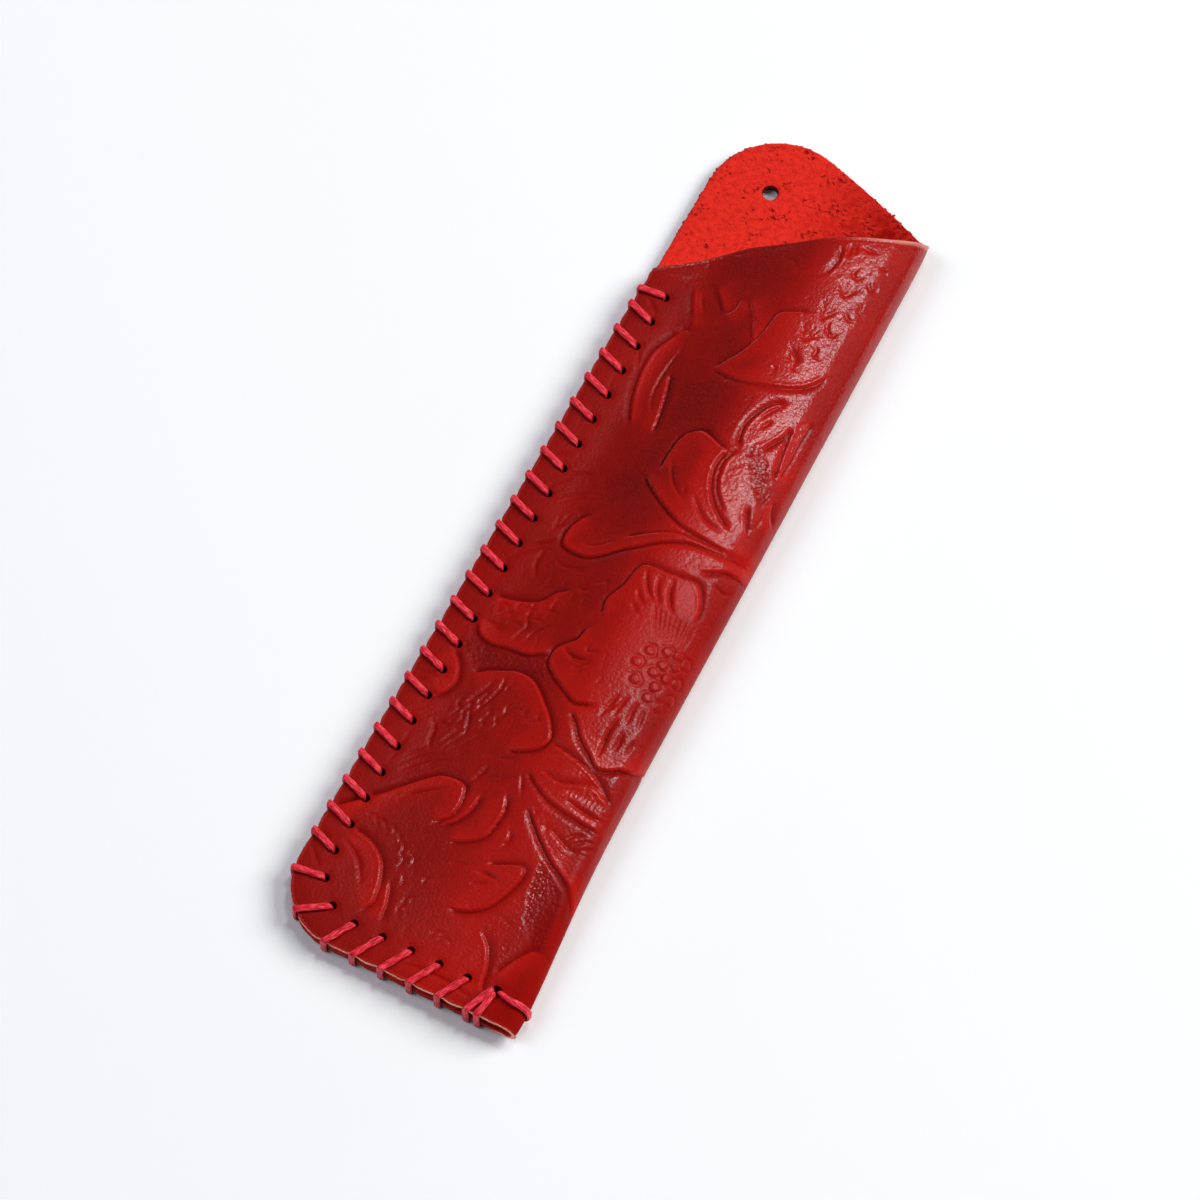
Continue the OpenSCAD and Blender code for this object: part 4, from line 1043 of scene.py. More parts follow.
def thread_routes():
    """Stations of the three stretches of thread, and which of them is a closed loop."""
    down, left = np.array([0.0, -1]), np.array([-1.0, 0])
    lock_hole = BOTTOM_HOLES[0]
    start = passing(lock_hole, turned(-95), LOCK_PASS_IN, LOCK_PASS_W)
    again = passing(lock_hole, turned(-165), LOCK_PASS_IN, LOCK_PASS_W)
    bottoms = [passing(h, down, PASS_IN, PASS_W) for h in BOTTOM_HOLES[1:]]
    corners = [passing(h, unit(h - TURN_CENTRE), PASS_IN, PASS_W) for h in CORNER_HOLES]
    sides = [passing(h, left, PASS_IN, PASS_W) for h in SIDE_HOLES]
    crossings = edge_crossings()
    side_runs = crossings[-len(SIDE_HOLES):]
    stops = [start, again] + bottoms + corners + [sides[0]]
    runs = [CORNER_R - lock_hole[0] + 0.8] + crossings[:-len(SIDE_HOLES)]

    tail_way = at_height(unit([-1, 2]), 0)
    tail_to = at_height(start[0], UNDER_Z)
    tail_from = tail_to - tail_way * 2.4
    bead = [station(tail_from - tail_way * 1.2 * (1 - t), tail_way, DOWN, 1.5 * w, THREAD_T)
            for t, w in ((0, 0.4), (0.25, 1), (0.75, 1), (1, 0.7))]
    joint = station(at_height(sides[0][0], (LIFT + FRONT_TOP) / 2), UP, (1, 0, 0), PASS_W, THREAD_T)
    bottom = bead + bend(tail_to, (tail_way, DOWN, THREAD_W / 2, THREAD_T), start[1])
    for i, run in enumerate(runs):
        bottom += whip(stops[i], run, stops[i + 1])
    bottom.append(joint)

    side = [joint]
    for i in range(len(sides) - 1):
        side += whip(sides[i], side_runs[i], sides[i + 1])
    last_hole = SIDE_HOLES[-1]
    last = whip(sides[-1], side_runs[-1] - SIDE_LEAN - 0.4,
                passing(last_hole + np.array([0, -0.4]), left, 0, PASS_W))
    end_at = at_height(last_hole + left * PASS_IN, UNDER_Z)
    side += last[:-3] + [station(end_at + np.array([1.2 * t, 0, 0]), (1, 0, 0), DOWN, 1.5 * w, THREAD_T)
                         for t, w in ((0, 0.8), (0.25, 1), (0.75, 1), (1, 0.4))]

    lock_y = lock_hole[1] - 0.65
    fold_r, centre, slope, _ = (float(v) for v in section(lock_y))
    r = fold_r + HALF + OFF_LEATHER
    a = lock_hole + turned(-20) * LOCK_PASS_IN
    over_a, under_a = at_height(a, front_z(*a) + OFF_LEATHER), at_height(a, UNDER_Z)
    turn_at = np.array([centre, lock_y, BACK_MID + fold_r])
    first = 90 + np.degrees(slope)
    round_fold = []
    for i in range(11):
        c, s = turned(first - (first + 90) * i / 10)
        out = np.array([c, 0, s])
        round_fold.append(station(turn_at + r * out, (s, 0, -c), out, THREAD_W, THREAD_T))
    in_hole = (UP, np.array([-1.0, 0, 0]), LOCK_PASS_W, LOCK_PASS_W)
    near_w = (THREAD_W + LOCK_PASS_W) / 2
    way = unit(round_fold[0][0] - over_a)
    home = unit(under_a - round_fold[-1][0])
    lock = (bend(over_a, in_hole, (way, UP, near_w, THREAD_T)) + round_fold
            + bend(under_a, (home, DOWN, near_w, THREAD_T), in_hole))
    return {"fold_lock_thread": (lock, True), "bottom_seam_thread": (bottom, False),
            "side_seam_thread": (side, False)}


def thread_mesh(stations, loop, strands, rng):
    """A flat thread of fine strands along the stations, with its lay as (across, along) marks."""
    ends = stations + stations[:1] if loop else stations
    dense = []
    for (at, way, out, *size), (to, to_way, to_out, *to_size) in zip(ends[:-1], ends[1:]):
        gap = float(np.linalg.norm(to - at))
        steps = max(2, int(round(gap / 0.22)))
        # A cubic through both stations that leaves and arrives along the thread
        for t in np.arange(steps) / steps:
            h = (2 * t ** 3 - 3 * t ** 2 + 1, t ** 3 - 2 * t ** 2 + t,
                 -2 * t ** 3 + 3 * t ** 2, t ** 3 - t ** 2)
            dense.append((h[0] * at + h[1] * way * gap + h[2] * to + h[3] * to_way * gap,
                          unit(way * (1 - t) + to_way * t), out * (1 - t) + to_out * t,
                          np.array(size) * (1 - t) + np.array(to_size) * t))
    if not loop:
        at, way, out, *size = stations[-1]
        dense.append((at, way, out, np.array(size)))
    p, w, o, size = (np.array(v) for v in zip(*dense))
    across = np.cross(w, o)
    across /= np.linalg.norm(across, axis=1)[:, None]
    up = np.cross(across, w)
    run = np.concatenate([[0], np.cumsum(np.linalg.norm(np.diff(p, axis=0), axis=1))])
    # Strands run along the thread with a slight twist, and its corners are only a little rounded
    sides = 24
    phi = np.arange(sides) * 2 * np.pi / sides
    twist = 0.55 * np.sin(run * 1.3 + rng.uniform(0, 6)) + 0.3 * np.sin(run * 0.47)
    ridge = 1 - 0.09 * (0.5 + 0.5 * np.cos(strands * phi[None, :] + twist[:, None] * 2))
    swell = 1 + 0.05 * np.sin(run * 2.3 + rng.uniform(0, 6))[:, None]
    u = np.sign(np.cos(phi)) * np.abs(np.cos(phi)) ** 0.9
    v = np.sign(np.sin(phi)) * np.abs(np.sin(phi)) ** 0.8
    half_w = size[:, :1] / 2 * np.minimum(swell, 1.03) * ridge
    half_t = size[:, 1:] / 2 * 0.98 * ridge
    points = (p[:, None, :] + across[:, None, :] * (half_w * u)[..., None]
              + up[:, None, :] * (half_t * v)[..., None])
    lay = np.stack([np.broadcast_to(phi / (2 * np.pi) * 3.0, half_w.shape),
                    np.broadcast_to(run[:, None], half_w.shape)], -1)
    count = len(p)
    joins = count if loop else count - 1
    i, j = np.meshgrid(np.arange(joins), np.arange(sides), indexing="ij")
    i2, j2 = (i + 1) % count, (j + 1) % sides
    quads = np.stack([i * sides + j, i * sides + j2, i2 * sides + j2, i2 * sides + j], -1).reshape(-1, 4)
    faces = [tuple(q) for q in quads.tolist()]
    if not loop:
        faces.append(tuple(range(sides - 1, -1, -1)))
        faces.append(tuple((count - 1) * sides + k for k in range(sides)))
    return points.reshape(-1, 3), faces, lay.reshape(-1, 2)


# ---------------------------------------------------------------------------------------------
# Blender meshes and finishes
# ---------------------------------------------------------------------------------------------
def make_piece(name, points, faces):
    """A mesh object of points in millimetres, placed in the frame."""
    mesh = bpy.data.meshes.new(name)
    mesh.from_pydata(((points + SEAM_CORNER) * MM).tolist(), [], faces)
    if mesh.validate():
        raise RuntimeError(name + " has faces that Blender had to mend")
    mesh.polygons.foreach_set("use_smooth", [True] * len(mesh.polygons))
    piece = bpy.data.objects.new(name, mesh)
    bpy.context.scene.collection.objects.link(piece)
    return piece


def mark(piece, name, values):
    """Store a value for each point, for the finish to read."""
    values = np.asarray(values, float)
    kind = "FLOAT" if values.ndim == 1 else "FLOAT_VECTOR"
    layer = piece.data.attributes.new(name, kind, "POINT")
    if values.ndim == 1:
        layer.data.foreach_set("value", values)
    else:
        padded = np.zeros((len(values), 3))
        padded[:, :values.shape[1]] = values
        layer.data.foreach_set("vector", padded.ravel())


def srgb(text):
    """An sRGB hex value as three shares."""
    return tuple(int(text[i:i + 2], 16) / 255 for i in (1, 3, 5))


def linear(colour):
    """An sRGB hex value or colour property as the linear colour that the shader takes."""
    colour = srgb(colour) if isinstance(colour, str) else colour
    lin = [c / 12.92 if c <= 0.04045 else ((c + 0.055) / 1.055) ** 2.4 for c in colour[:3]]
    return (*lin, 1.0)


def add_node(tree, kind, settings=None, links=None):
    """Add a node with its settings, by property or input, and the links into its inputs."""
    node = tree.nodes.new(kind)
    for key, value in (settings or {}).items():
        if isinstance(key, str) and hasattr(node, key):
            setattr(node, key, value)
        else:
            node.inputs[key].default_value = value
    for key, socket in (links or {}).items():
        tree.links.new(socket, node.inputs[key])
    return node


def new_finish(name):
    """An empty material and its node tree."""
    finish = bpy.data.materials.new(name)
    finish.use_nodes = True
    finish.node_tree.nodes.clear()
    return finish, finish.node_tree


def ramp_stops(node, stops):
    """Set a colour ramp's stops as position and linear colour."""
    elements = node.color_ramp.elements
    while len(elements) > len(stops):
        elements.remove(elements[-1])
    while len(elements) < len(stops):
        elements.new(1)
    for element, (position, colour) in zip(elements, stops):
        element.position = position
        element.color = colour


# In the finishes, inputs 1 to 4 of a Map Range are its two ranges, and 0, 6 and 7 of a Mix its share and
# its two colours. "blank" is each point's place on the flat hide in mm, so patterns are scaled in 1/mm.
def grain_finish(colours):
    """Vegetable-tanned cowhide, dyed, tooled and waxed: deep red ground, a soft shine, and painted light and
    shade: lighter petals, crown and rims, darker hollows.
    """
    finish, tree = new_finish("dyed vegetable-tanned grain leather")
    place = add_node(tree, "ShaderNodeAttribute", {"attribute_name": "blank"}).outputs["Vector"]
    relief, edge, painted_light_shade, matting, wax = (
        add_node(tree, "ShaderNodeAttribute", {"attribute_name": name}).outputs["Fac"]
        for name in ("relief", "worn", "painted_light_shade", "matting", "wax"))

    # The dye takes unevenly: patches some 15 mm across and finer mottling of 1.5 mm
    patches = add_node(tree, "ShaderNodeTexNoise", {"Scale": 0.07, "Detail": 3.0}, {"Vector": place})
    mottle = add_node(tree, "ShaderNodeTexNoise", {"Scale": 0.65, "Detail": 4.0}, {"Vector": place})
    faint = add_node(tree, "ShaderNodeMapRange", {1: 0.3, 2: 0.7, 3: 0.4, 4: 0.6},
                     {0: patches.outputs["Fac"]})
    blend = add_node(tree, "ShaderNodeMath", {"operation": "MULTIPLY_ADD", 1: 0.22},
                     {0: mottle.outputs["Fac"], 2: faint.outputs[0]})
    # Painted light and shade: the raised petals and the front's high middle by the fold are drawn lighter
    # than the pressed ground
    dyed = add_node(tree, "ShaderNodeMath", {"operation": "MULTIPLY_ADD", 1: 0.34},
                    {0: painted_light_shade, 2: blend.outputs[0]})
    dye = add_node(tree, "ShaderNodeValToRGB", None, {"Fac": dyed.outputs[0]})
    ramp_stops(dye, [(0.33, linear(colours.leather_deep)), (1.0, linear(colours.leather))])

    # The matting stamp leaves round pebbles of 0.6 mm in the ground
    pebbles = add_node(tree, "ShaderNodeTexVoronoi", {"Scale": 1.6, "Randomness": 0.8}, {"Vector": place})
    pressed = add_node(tree, "ShaderNodeMath", {"operation": "MULTIPLY"},
                       {0: pebbles.outputs["Distance"], 1: matting})

    # Painted shade: the colour is drawn darker in the deep tooled cuts and between the matting pebbles, and
    # painted highlight draws the high rims lighter
    deep_cut_shade = add_node(tree, "ShaderNodeMapRange", {1: -0.38, 2: -0.17, 3: 0.75, 4: 0.0}, {0: relief})
    painted_hollow_shade = add_node(tree, "ShaderNodeMath", {"operation": "MULTIPLY_ADD", 1: 0.5},
                      {0: pressed.outputs[0], 2: deep_cut_shade.outputs[0]})
    hollow_shaded_colour = add_node(tree, "ShaderNodeMix", {"data_type": "RGBA", 7: linear("#560606")},
                      {0: painted_hollow_shade.outputs[0], 6: dye.outputs["Color"]})
    rim_light_share = add_node(tree, "ShaderNodeMapRange", {1: 0.03, 2: 0.2, 3: 0.0, 4: 0.3}, {0: relief})
    painted_relief_light = add_node(tree, "ShaderNodeMix", {"data_type": "RGBA", 7: linear("#C02018")},
                      {0: rim_light_share.outputs[0], 6: hollow_shaded_colour.outputs[2]})
    worn = add_node(tree, "ShaderNodeMix", {"data_type": "RGBA", 7: linear("#DC8E82")},
                    {0: edge, 6: painted_relief_light.outputs[2]})

    # Hair-cell grain of 0.2 mm, drawn at 0.45 mm so that it shows, over soft unevenness of 2 mm
    cells = add_node(tree, "ShaderNodeTexVoronoi", {"feature": "SMOOTH_F1", "Scale": 2.1, "Smoothness": 0.5},
                     {"Vector": place})
    pores = add_node(tree, "ShaderNodeTexNoise", {"Scale": 2.1, "Detail": 1.0}, {"Vector": place})
    soft = add_node(tree, "ShaderNodeTexNoise", {"Scale": 0.45, "Detail": 1.0}, {"Vector": place})
    grain = add_node(tree, "ShaderNodeMath", {"operation": "MULTIPLY_ADD", 1: 0.6},
                     {0: cells.outputs["Distance"], 2: pores.outputs["Fac"]})
    skin = add_node(tree, "ShaderNodeMath", {"operation": "ADD"},
                    {0: soft.outputs["Fac"], 1: grain.outputs[0]})
    height = add_node(tree, "ShaderNodeMath", {"operation": "MULTIPLY_ADD", 1: -2.4},
                      {0: pressed.outputs[0], 2: skin.outputs[0]})
    bump = add_node(tree, "ShaderNodeBump", {"Strength": 1.0, "Distance": 0.000042},
                    {"Height": height.outputs[0]})

    # The wax shines most on the flat of the tooling, and leather without wax is duller
    shine = add_node(tree, "ShaderNodeMapRange", {1: 0.3, 2: 0.75, 3: 0.21, 4: 0.30},
                     {0: pores.outputs["Fac"]})
    bare = add_node(tree, "ShaderNodeMapRange", {1: 0.0, 2: 1.0, 3: 0.3, 4: 0.0}, {0: wax})
    dull = add_node(tree, "ShaderNodeMath", {"operation": "ADD"}, {0: shine.outputs[0], 1: bare.outputs[0]})
    flat_shine = add_node(tree, "ShaderNodeMapRange", {1: -0.28, 2: -0.04, 3: 0.2, 4: 0.55}, {0: relief})
    gloss = add_node(tree, "ShaderNodeMath", {"operation": "MULTIPLY"}, {0: wax, 1: flat_shine.outputs[0]})
    shader = add_node(tree, "ShaderNodeBsdfPrincipled", {"IOR": 1.5},
                      {"Base Color": worn.outputs[2], "Roughness": dull.outputs[0],
                       "Specular IOR Level": gloss.outputs[0], "Normal": bump.outputs[0]})
    add_node(tree, "ShaderNodeOutputMaterial", None, {"Surface": shader.outputs[0]})
    return finish


def flesh_finish(colours):
    """The flesh side of the same hide, dyed through and left as a short nap: bright, matt and fibrous, with
    painted shade by the fold.
    """
    finish, tree = new_finish("dyed suede flesh side")
    place = add_node(tree, "ShaderNodeAttribute", {"attribute_name": "blank"}).outputs["Vector"]
    near_fold = add_node(tree, "ShaderNodeAttribute", {"attribute_name": "near_fold"}).outputs["Fac"]
    # Fibres run slantwise, about 0.8 mm long and 0.4 mm wide
    slant = add_node(tree, "ShaderNodeMapping", {"Rotation": (0, 0, 0.7), "Scale": (1.1, 1.4, 1.0)},
                     {"Vector": place}).outputs[0]
    # Torn fibres leave small dark pits in loose drifts; the extra pits towards the fold add to its painted
    # shade
    fibres, drifts, pits = (
        add_node(tree, "ShaderNodeTexNoise", {"Scale": scale, "Detail": detail, "Roughness": rough},
                 {"Vector": slant}).outputs["Fac"]
        for scale, detail, rough in ((0.8, 7.0, 0.75), (0.26, 2.0, 0.6), (1.15, 2.0, 0.5)))
    loose = add_node(tree, "ShaderNodeMath", {"operation": "MULTIPLY_ADD", 1: -0.95}, {0: drifts, 2: pits})
    depth = add_node(tree, "ShaderNodeMath", {"operation": "MULTIPLY_ADD", 1: -0.11},
                     {0: near_fold, 2: loose.outputs[0]})
    nap = add_node(tree, "ShaderNodeMapRange", {1: -0.33, 2: -0.13, 3: 0.0, 4: 1.0}, {0: depth.outputs[0]})
    colour = add_node(tree, "ShaderNodeValToRGB", None, {"Fac": fibres})
    ramp_stops(colour, [(0.30, linear(colours.suede_deep)), (0.54, linear(colours.suede))])
    pitted = add_node(tree, "ShaderNodeMix", {"data_type": "RGBA", 6: linear("#A0120C")},
                      {0: nap.outputs[0], 7: colour.outputs["Color"]})
    # Painted shade: the nap by the fold is drawn darker, unevenly
    uneven_shade = add_node(tree, "ShaderNodeMapRange", {1: 0.38, 2: 0.58, 3: 1.0, 4: 0.45}, {0: drifts})
    pressed = add_node(tree, "ShaderNodeMath", {"operation": "MULTIPLY", "use_clamp": True},
                       {0: near_fold, 1: uneven_shade.outputs[0]})
    shaded = add_node(tree, "ShaderNodeMix",
                      {"data_type": "RGBA", "blend_type": "MULTIPLY", 7: linear("#A05850")},
                      {0: pressed.outputs[0], 6: pitted.outputs[2]})
    height = add_node(tree, "ShaderNodeMath", {"operation": "MULTIPLY_ADD", 1: 1.5},
                      {0: nap.outputs[0], 2: fibres})
    bump = add_node(tree, "ShaderNodeBump", {"Strength": 0.9, "Distance": 0.00025},
                    {"Height": height.outputs[0]})
    shader = add_node(tree, "ShaderNodeBsdfPrincipled",
                      {"Roughness": 0.9, "IOR": 1.45, "Specular IOR Level": 0.1, "Sheen Weight": 0.12,
                       "Sheen Roughness": 0.5, "Sheen Tint": linear("#FF6A58")},
                      {"Base Color": shaded.outputs[2], "Normal": bump.outputs[0]})
    add_node(tree, "ShaderNodeOutputMaterial", None, {"Surface": shader.outputs[0]})
    return finish


def edge_finish(colours):
    """The raw cut edge: the dye has soaked in from both faces and leaves a pale, dull, fibrous core."""
    finish, tree = new_finish("raw cut leather edge")
    place = add_node(tree, "ShaderNodeTexCoord").outputs["Object"]
    through, back = (add_node(tree, "ShaderNodeAttribute", {"attribute_name": name}).outputs["Fac"]
                     for name in ("through", "back_layer"))
    # Fibre ends of 0.7 mm, coarser than the real ones so that they show, and dye blotches of 11 mm
    fibres = add_node(tree, "ShaderNodeTexNoise", {"Scale": 1400.0, "Detail": 4.0, "Roughness": 0.7},
                      {"Vector": place})
    blotches = add_node(tree, "ShaderNodeTexNoise", {"Scale": 90.0, "Detail": 2.0}, {"Vector": place})
    tone = add_node(tree, "ShaderNodeMath", {"operation": "MULTIPLY_ADD", 1: 0.6},
                    {0: fibres.outputs["Fac"], 2: blotches.outputs["Fac"]})
    core = add_node(tree, "ShaderNodeValToRGB", None, {"Fac": through})
    ramp_stops(core, [(at, (v, v, v, 1)) for at, v in ((0.10, 0), (0.24, 1), (0.52, 0.8), (0.72, 0))])
    # The back layer's edge was dipped and has taken the dye right through
    bare = add_node(tree, "ShaderNodeMath", {"operation": "SUBTRACT", 0: 1.0}, {1: back})
    left_bare = add_node(tree, "ShaderNodeMath", {"operation": "MULTIPLY"},
                         {0: core.outputs["Color"], 1: bare.outputs[0]})
    pale = add_node(tree, "ShaderNodeMath", {"operation": "MULTIPLY"},
                    {0: left_bare.outputs[0], 1: tone.outputs[0]})
    colour = add_node(tree, "ShaderNodeValToRGB", None, {"Fac": pale.outputs[0]})
    ramp_stops(colour, [(0.18, linear("#A81C16")), (0.55, linear(colours.edge)), (0.8, linear("#FFC6B0"))])
    bump = add_node(tree, "ShaderNodeBump", {"Strength": 0.7, "Distance": 0.00015},
                    {"Height": fibres.outputs["Fac"]})
    shader = add_node(tree, "ShaderNodeBsdfPrincipled", {"Roughness": 0.85, "Specular IOR Level": 0.25},
                      {"Base Color": colour.outputs["Color"], "Normal": bump.outputs[0]})
    add_node(tree, "ShaderNodeOutputMaterial", None, {"Surface": shader.outputs[0]})
    return finish


def hole_finish(_colours):
    """Walls of the punched holes: fibre pressed hard by the punch and dull, drawn dark as painted shade
    inside the holes.
    """
    finish, tree = new_finish("punched leather fibre")
    place = add_node(tree, "ShaderNodeTexCoord").outputs["Object"]
    fibres = add_node(tree, "ShaderNodeTexNoise", {"Scale": 1600.0, "Detail": 3.0}, {"Vector": place})
    colour = add_node(tree, "ShaderNodeValToRGB", None, {"Fac": fibres.outputs["Fac"]})
    ramp_stops(colour, [(0.35, linear("#3A0806")), (0.7, linear("#7A1C14"))])
    shader = add_node(tree, "ShaderNodeBsdfPrincipled", {"Roughness": 0.8, "Specular IOR Level": 0.2},
                      {"Base Color": colour.outputs["Color"]})
    add_node(tree, "ShaderNodeOutputMaterial", None, {"Surface": shader.outputs[0]})
    return finish


def thread_finish(colours):
    """Flat polyester thread, laid of fine filaments and waxed: it shines softly along its strands."""
    finish, tree = new_finish("waxed polyester thread")
    lay = add_node(tree, "ShaderNodeAttribute", {"attribute_name": "lay"}).outputs["Vector"]
    # Filaments are far too fine to show, so bundles of about 0.15 mm are drawn, darker between them as
    # painted shade and lighter on them as painted glints
    stretch = add_node(tree, "ShaderNodeMapping", {"Scale": (6.5, 0.7, 1.0)}, {"Vector": lay})
    bundles = add_node(tree, "ShaderNodeTexNoise", {"Scale": 1.0, "Detail": 3.0, "Distortion": 0.4},
                       {"Vector": stretch.outputs[0]}).outputs["Fac"]
    colour = add_node(tree, "ShaderNodeValToRGB", None, {"Fac": bundles})
    ramp_stops(colour, [(0.34, linear(colours.thread_deep)), (0.52, linear(colours.thread)),
                        (0.7, linear("#F4646E"))])
    bump = add_node(tree, "ShaderNodeBump", {"Strength": 1.0, "Distance": 0.00006}, {"Height": bundles})
    shader = add_node(tree, "ShaderNodeBsdfPrincipled",
                      {"Roughness": 0.4, "IOR": 1.5, "Sheen Weight": 0.1, "Sheen Roughness": 0.4,
                       "Sheen Tint": linear("#FFB0B4")},
                      {"Base Color": colour.outputs["Color"], "Normal": bump.outputs[0]})
    add_node(tree, "ShaderNodeOutputMaterial", None, {"Surface": shader.outputs[0]})
    return finish


def table_finish(colours):
    """A plain table top of matt white laminate."""
    finish, tree = new_finish("matt white laminate")
    shader = add_node(tree, "ShaderNodeBsdfPrincipled",
                      {"Base Color": linear(colours.table), "Roughness": 0.7, "Specular IOR Level": 0.2})
    add_node(tree, "ShaderNodeOutputMaterial", None, {"Surface": shader.outputs[0]})
    return finish


# ---------------------------------------------------------------------------------------------
# Settings
# ---------------------------------------------------------------------------------------------
def colour_prop(name, description, default):
    """A colour setting with an sRGB hex default."""
    return bpy.props.FloatVectorProperty(name=name, description=description, subtype="COLOR_GAMMA", size=3,
                                         min=0, max=1, default=srgb(default))


class PenCaseSizes(bpy.types.PropertyGroup):
    """Sizes of the case's finish."""

    relief: bpy.props.FloatProperty(
        name="Tooling Relief", description="Depth of the tooled pattern, as a share of a medium relief",
        default=1.0, min=0.0, max=1.5, subtype="FACTOR")
    edge_round: bpy.props.FloatProperty(
        name="Edge Rounding", description="Radius to which the cut edge of the leather is worn",
        default=0.25 * MM, min=0.05 * MM, max=0.5 * MM, subtype="DISTANCE", unit="LENGTH", precision=5)
    strands: bpy.props.IntProperty(
        name="Thread Strands", description="Number of strands that show round the thread",
        default=9, min=4, max=12)
    seed: bpy.props.IntProperty(
        name="Hand Seed", description="Seed of the small unevenness of hand work", default=7)


class PenCaseColours(bpy.types.PropertyGroup):
    """Colours of the case and of the table."""

    # The two leather colours end the grain's colour ramp, which carries the dye's unevenness and painted
    # light and shade
    leather: colour_prop("Leather", "Grain side where the dye is lightest", "#AC130C")
    leather_deep: colour_prop("Leather, Deep", "Grain side where the dye is deepest", "#6E0B09")
    suede: colour_prop("Suede", "Flesh side", "#E62F24")
    suede_deep: colour_prop("Suede, Deep", "Hollows of the flesh side's nap", "#B81A12")
    edge: colour_prop("Edge", "Raw cut edge", "#FF9C80")
    thread: colour_prop("Thread", "Waxed thread", "#E62034")
    # Painted shade between the thread's strands
    thread_deep: colour_prop("Thread, Deep", "Between the strands of the thread", "#A00C1A")
    table: colour_prop("Table", "Table top", "#F9FCFE")


# ---------------------------------------------------------------------------------------------
# Operators
# ---------------------------------------------------------------------------------------------
class PENCASE_OT_leather(bpy.types.Operator):
    """Make the folded and tooled leather blank."""

    bl_idname = "pencase.leather"
    bl_label = "Make Leather"

    def execute(self, context):
        sizes, colours = context.scene.pen_case_sizes, context.scene.pen_case_colours
        rng = np.random.default_rng(sizes.seed)
        tooling = Tooling(sizes.relief)
        tooling.draw(lambda points: np.array(points, float))
        tooling.draw(half_turn)
        tooling.stamp_mats(rng)
        tooling.wear(rng)
        points, faces, finish, flat, marks = build_blank(sizes, tooling, rng)
        piece = make_piece("tooled_leather", points, faces)
        piece.data.polygons.foreach_set("material_index", finish)
        for make in (grain_finish, flesh_finish, edge_finish, hole_finish):
            piece.data.materials.append(make(colours))
        mark(piece, "blank", flat)
        for name, values in marks.items():
            mark(piece, name, values)
        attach(piece, "root")
        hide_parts("leather_body")
        return {"FINISHED"}


class PENCASE_OT_thread(bpy.types.Operator):
    """Make the three stretches of the waxed thread."""

    bl_idname = "pencase.thread"
    bl_label = "Make Thread"

    def execute(self, context):
        sizes, colours = context.scene.pen_case_sizes, context.scene.pen_case_colours
        rng = np.random.default_rng(sizes.seed + 1)
        finish = thread_finish(colours)
        for node, (stations, loop) in thread_routes().items():
            points, faces, lay = thread_mesh(stations, loop, sizes.strands, rng)
            piece = make_piece("waxed_" + node, points, faces)
            piece.data.materials.append(finish)
            mark(piece, "lay", lay)
            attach(piece, "root")
            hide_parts(node)
        return {"FINISHED"}


# Name, place and width in metres, watts, tint, and whether polished wax mirrors it: a wide window to the
# upper right, a small ceiling panel whose mirror image makes the shine beside the fold, and a soft fill
LAMPS = [
    ("window_light", (1.32, 1.08, 1.32), 1.4, 47.5, "#FFFDFA", False),
    ("ceiling_panel", (0.097, 0.478, 1.151), 0.28, 2.9, "#FBFCFF", True),
    ("fill_light", (-1.35, -0.75, 1.95), 1.8, 22.5, "#F0F4FF", False),
]

# The camera looks down at the case from about a metre: its place in mm, the ways behind it and to its
# right, the lens in mm and its shift
CAMERA_AT = (203.43, -388.64, 901.90)
CAMERA_BACK, CAMERA_RIGHT = (0.20305, -0.38266, 0.90130), (0.8834, 0.4687, 0)
CAMERA_LENS, CAMERA_SHIFT = 188.92, (-0.0148, -0.0007)


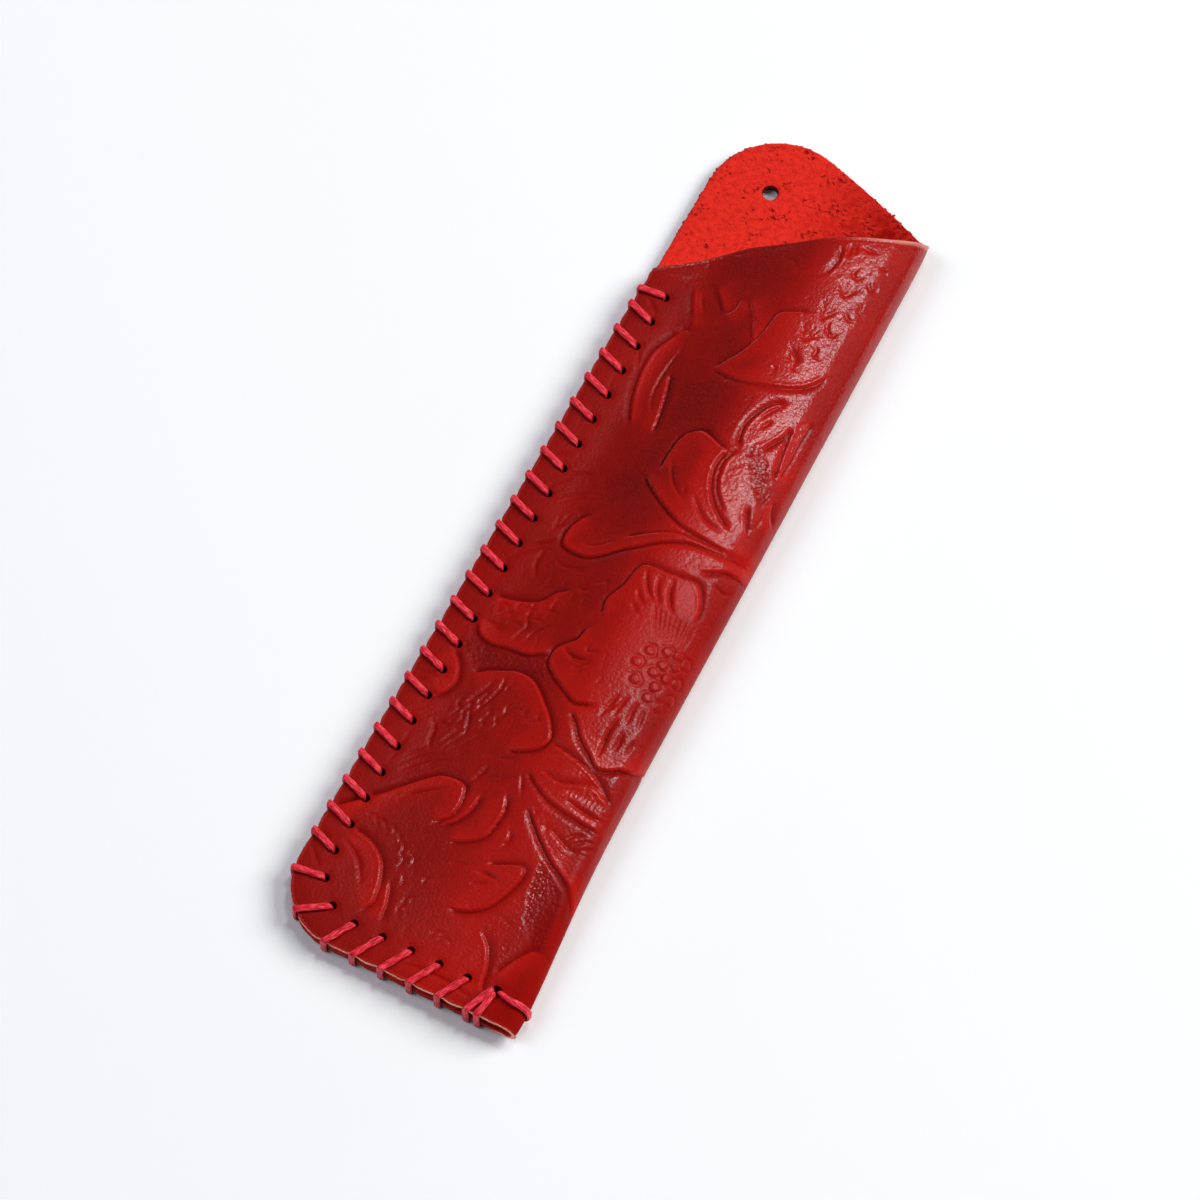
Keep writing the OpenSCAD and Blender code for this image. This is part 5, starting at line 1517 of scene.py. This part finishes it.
class PENCASE_OT_studio(bpy.types.Operator):
    """Make the table, the lights and the camera."""

    bl_idname = "pencase.studio"
    bl_label = "Make Studio"

    def execute(self, context):
        scene = context.scene
        colours = scene.pen_case_colours
        # A sheet that lies flat and rises in a wide curve well behind the case
        run = np.linspace(-1.2, 1.6, 57)
        z = 0.35 * (1 - np.cos(rise(run, 0.9, 0.7) * np.pi / 2))
        across = np.linspace(-1.6, 1.6, 33)
        points = [(x, y, h) for y, h in zip(run, z) for x in across]
        m = len(across)
        faces = [(i * m + j, i * m + j + 1, (i + 1) * m + j + 1, (i + 1) * m + j)
                 for i in range(len(run) - 1) for j in range(m - 1)]
        mesh = bpy.data.meshes.new("table_sheet")
        mesh.from_pydata(points, [], faces)
        mesh.polygons.foreach_set("use_smooth", [True] * len(faces))
        table = bpy.data.objects.new("table_sheet", mesh)
        scene.collection.objects.link(table)
        table.data.materials.append(table_finish(colours))

        for name, place, size, watts, tint, gloss in LAMPS:
            lamp = bpy.data.lights.new(name, "AREA")
            lamp.shape = "DISK"
            lamp.size = size
            lamp.energy = watts
            lamp.color = linear(tint)[:3]
            light = bpy.data.objects.new(name, lamp)
            light.location = place
            light.rotation_euler = Vector(place).to_track_quat("Z", "Y").to_euler()
            light.visible_glossy = gloss
            scene.collection.objects.link(light)

        world = bpy.data.worlds.new("pale room")
        world.use_nodes = True
        world.node_tree.nodes.clear()
        sky = add_node(world.node_tree, "ShaderNodeBackground",
                       {"Color": linear("#EEF3FA"), "Strength": 0.06})
        add_node(world.node_tree, "ShaderNodeOutputWorld", None, {"Surface": sky.outputs[0]})
        scene.world = world

        lens = bpy.data.cameras.new("photo_camera")
        lens.sensor_width = 36
        lens.lens = CAMERA_LENS
        lens.shift_x, lens.shift_y = CAMERA_SHIFT
        lens.clip_start, lens.clip_end = 0.05, 20
        camera = bpy.data.objects.new("photo_camera", lens)
        back, right = Vector(CAMERA_BACK).normalized(), Vector(CAMERA_RIGHT).normalized()
        up = back.cross(right)
        turn = Matrix((right, up, back)).transposed().to_4x4()
        camera.matrix_world = Matrix.Translation(Vector(CAMERA_AT) * MM) @ turn
        scene.collection.objects.link(camera)
        scene.camera = camera
        scene.view_settings.view_transform = "Standard"
        return {"FINISHED"}


class PENCASE_PT_panel(bpy.types.Panel):
    """Lists the steps and settings of the pen case."""

    bl_idname = "PENCASE_PT_panel"
    bl_label = "Pen Case"
    bl_space_type = "VIEW_3D"
    bl_region_type = "UI"
    bl_category = "Pen Case"

    def draw(self, context):
        for group in (context.scene.pen_case_sizes, context.scene.pen_case_colours):
            column = self.layout.column()
            for name in group.bl_rna.properties.keys():
                if name not in ("rna_type", "name"):
                    column.prop(group, name)
        for step in (PENCASE_OT_leather, PENCASE_OT_thread, PENCASE_OT_studio):
            self.layout.operator(step.bl_idname)


CLASSES = (PenCaseSizes, PenCaseColours, PENCASE_OT_leather, PENCASE_OT_thread, PENCASE_OT_studio,
           PENCASE_PT_panel)


def register():
    """Add the settings, steps and panel to Blender."""
    for item in CLASSES:
        bpy.utils.register_class(item)
    bpy.types.Scene.pen_case_sizes = bpy.props.PointerProperty(type=PenCaseSizes)
    bpy.types.Scene.pen_case_colours = bpy.props.PointerProperty(type=PenCaseColours)


def unregister():
    """Take them out again."""
    del bpy.types.Scene.pen_case_colours
    del bpy.types.Scene.pen_case_sizes
    for item in reversed(CLASSES):
        bpy.utils.unregister_class(item)


def main():
    """Make the whole picture."""
    register()
    bpy.ops.pencase.leather()
    bpy.ops.pencase.thread()
    bpy.ops.pencase.studio()


if __name__ == "__main__":
    main()
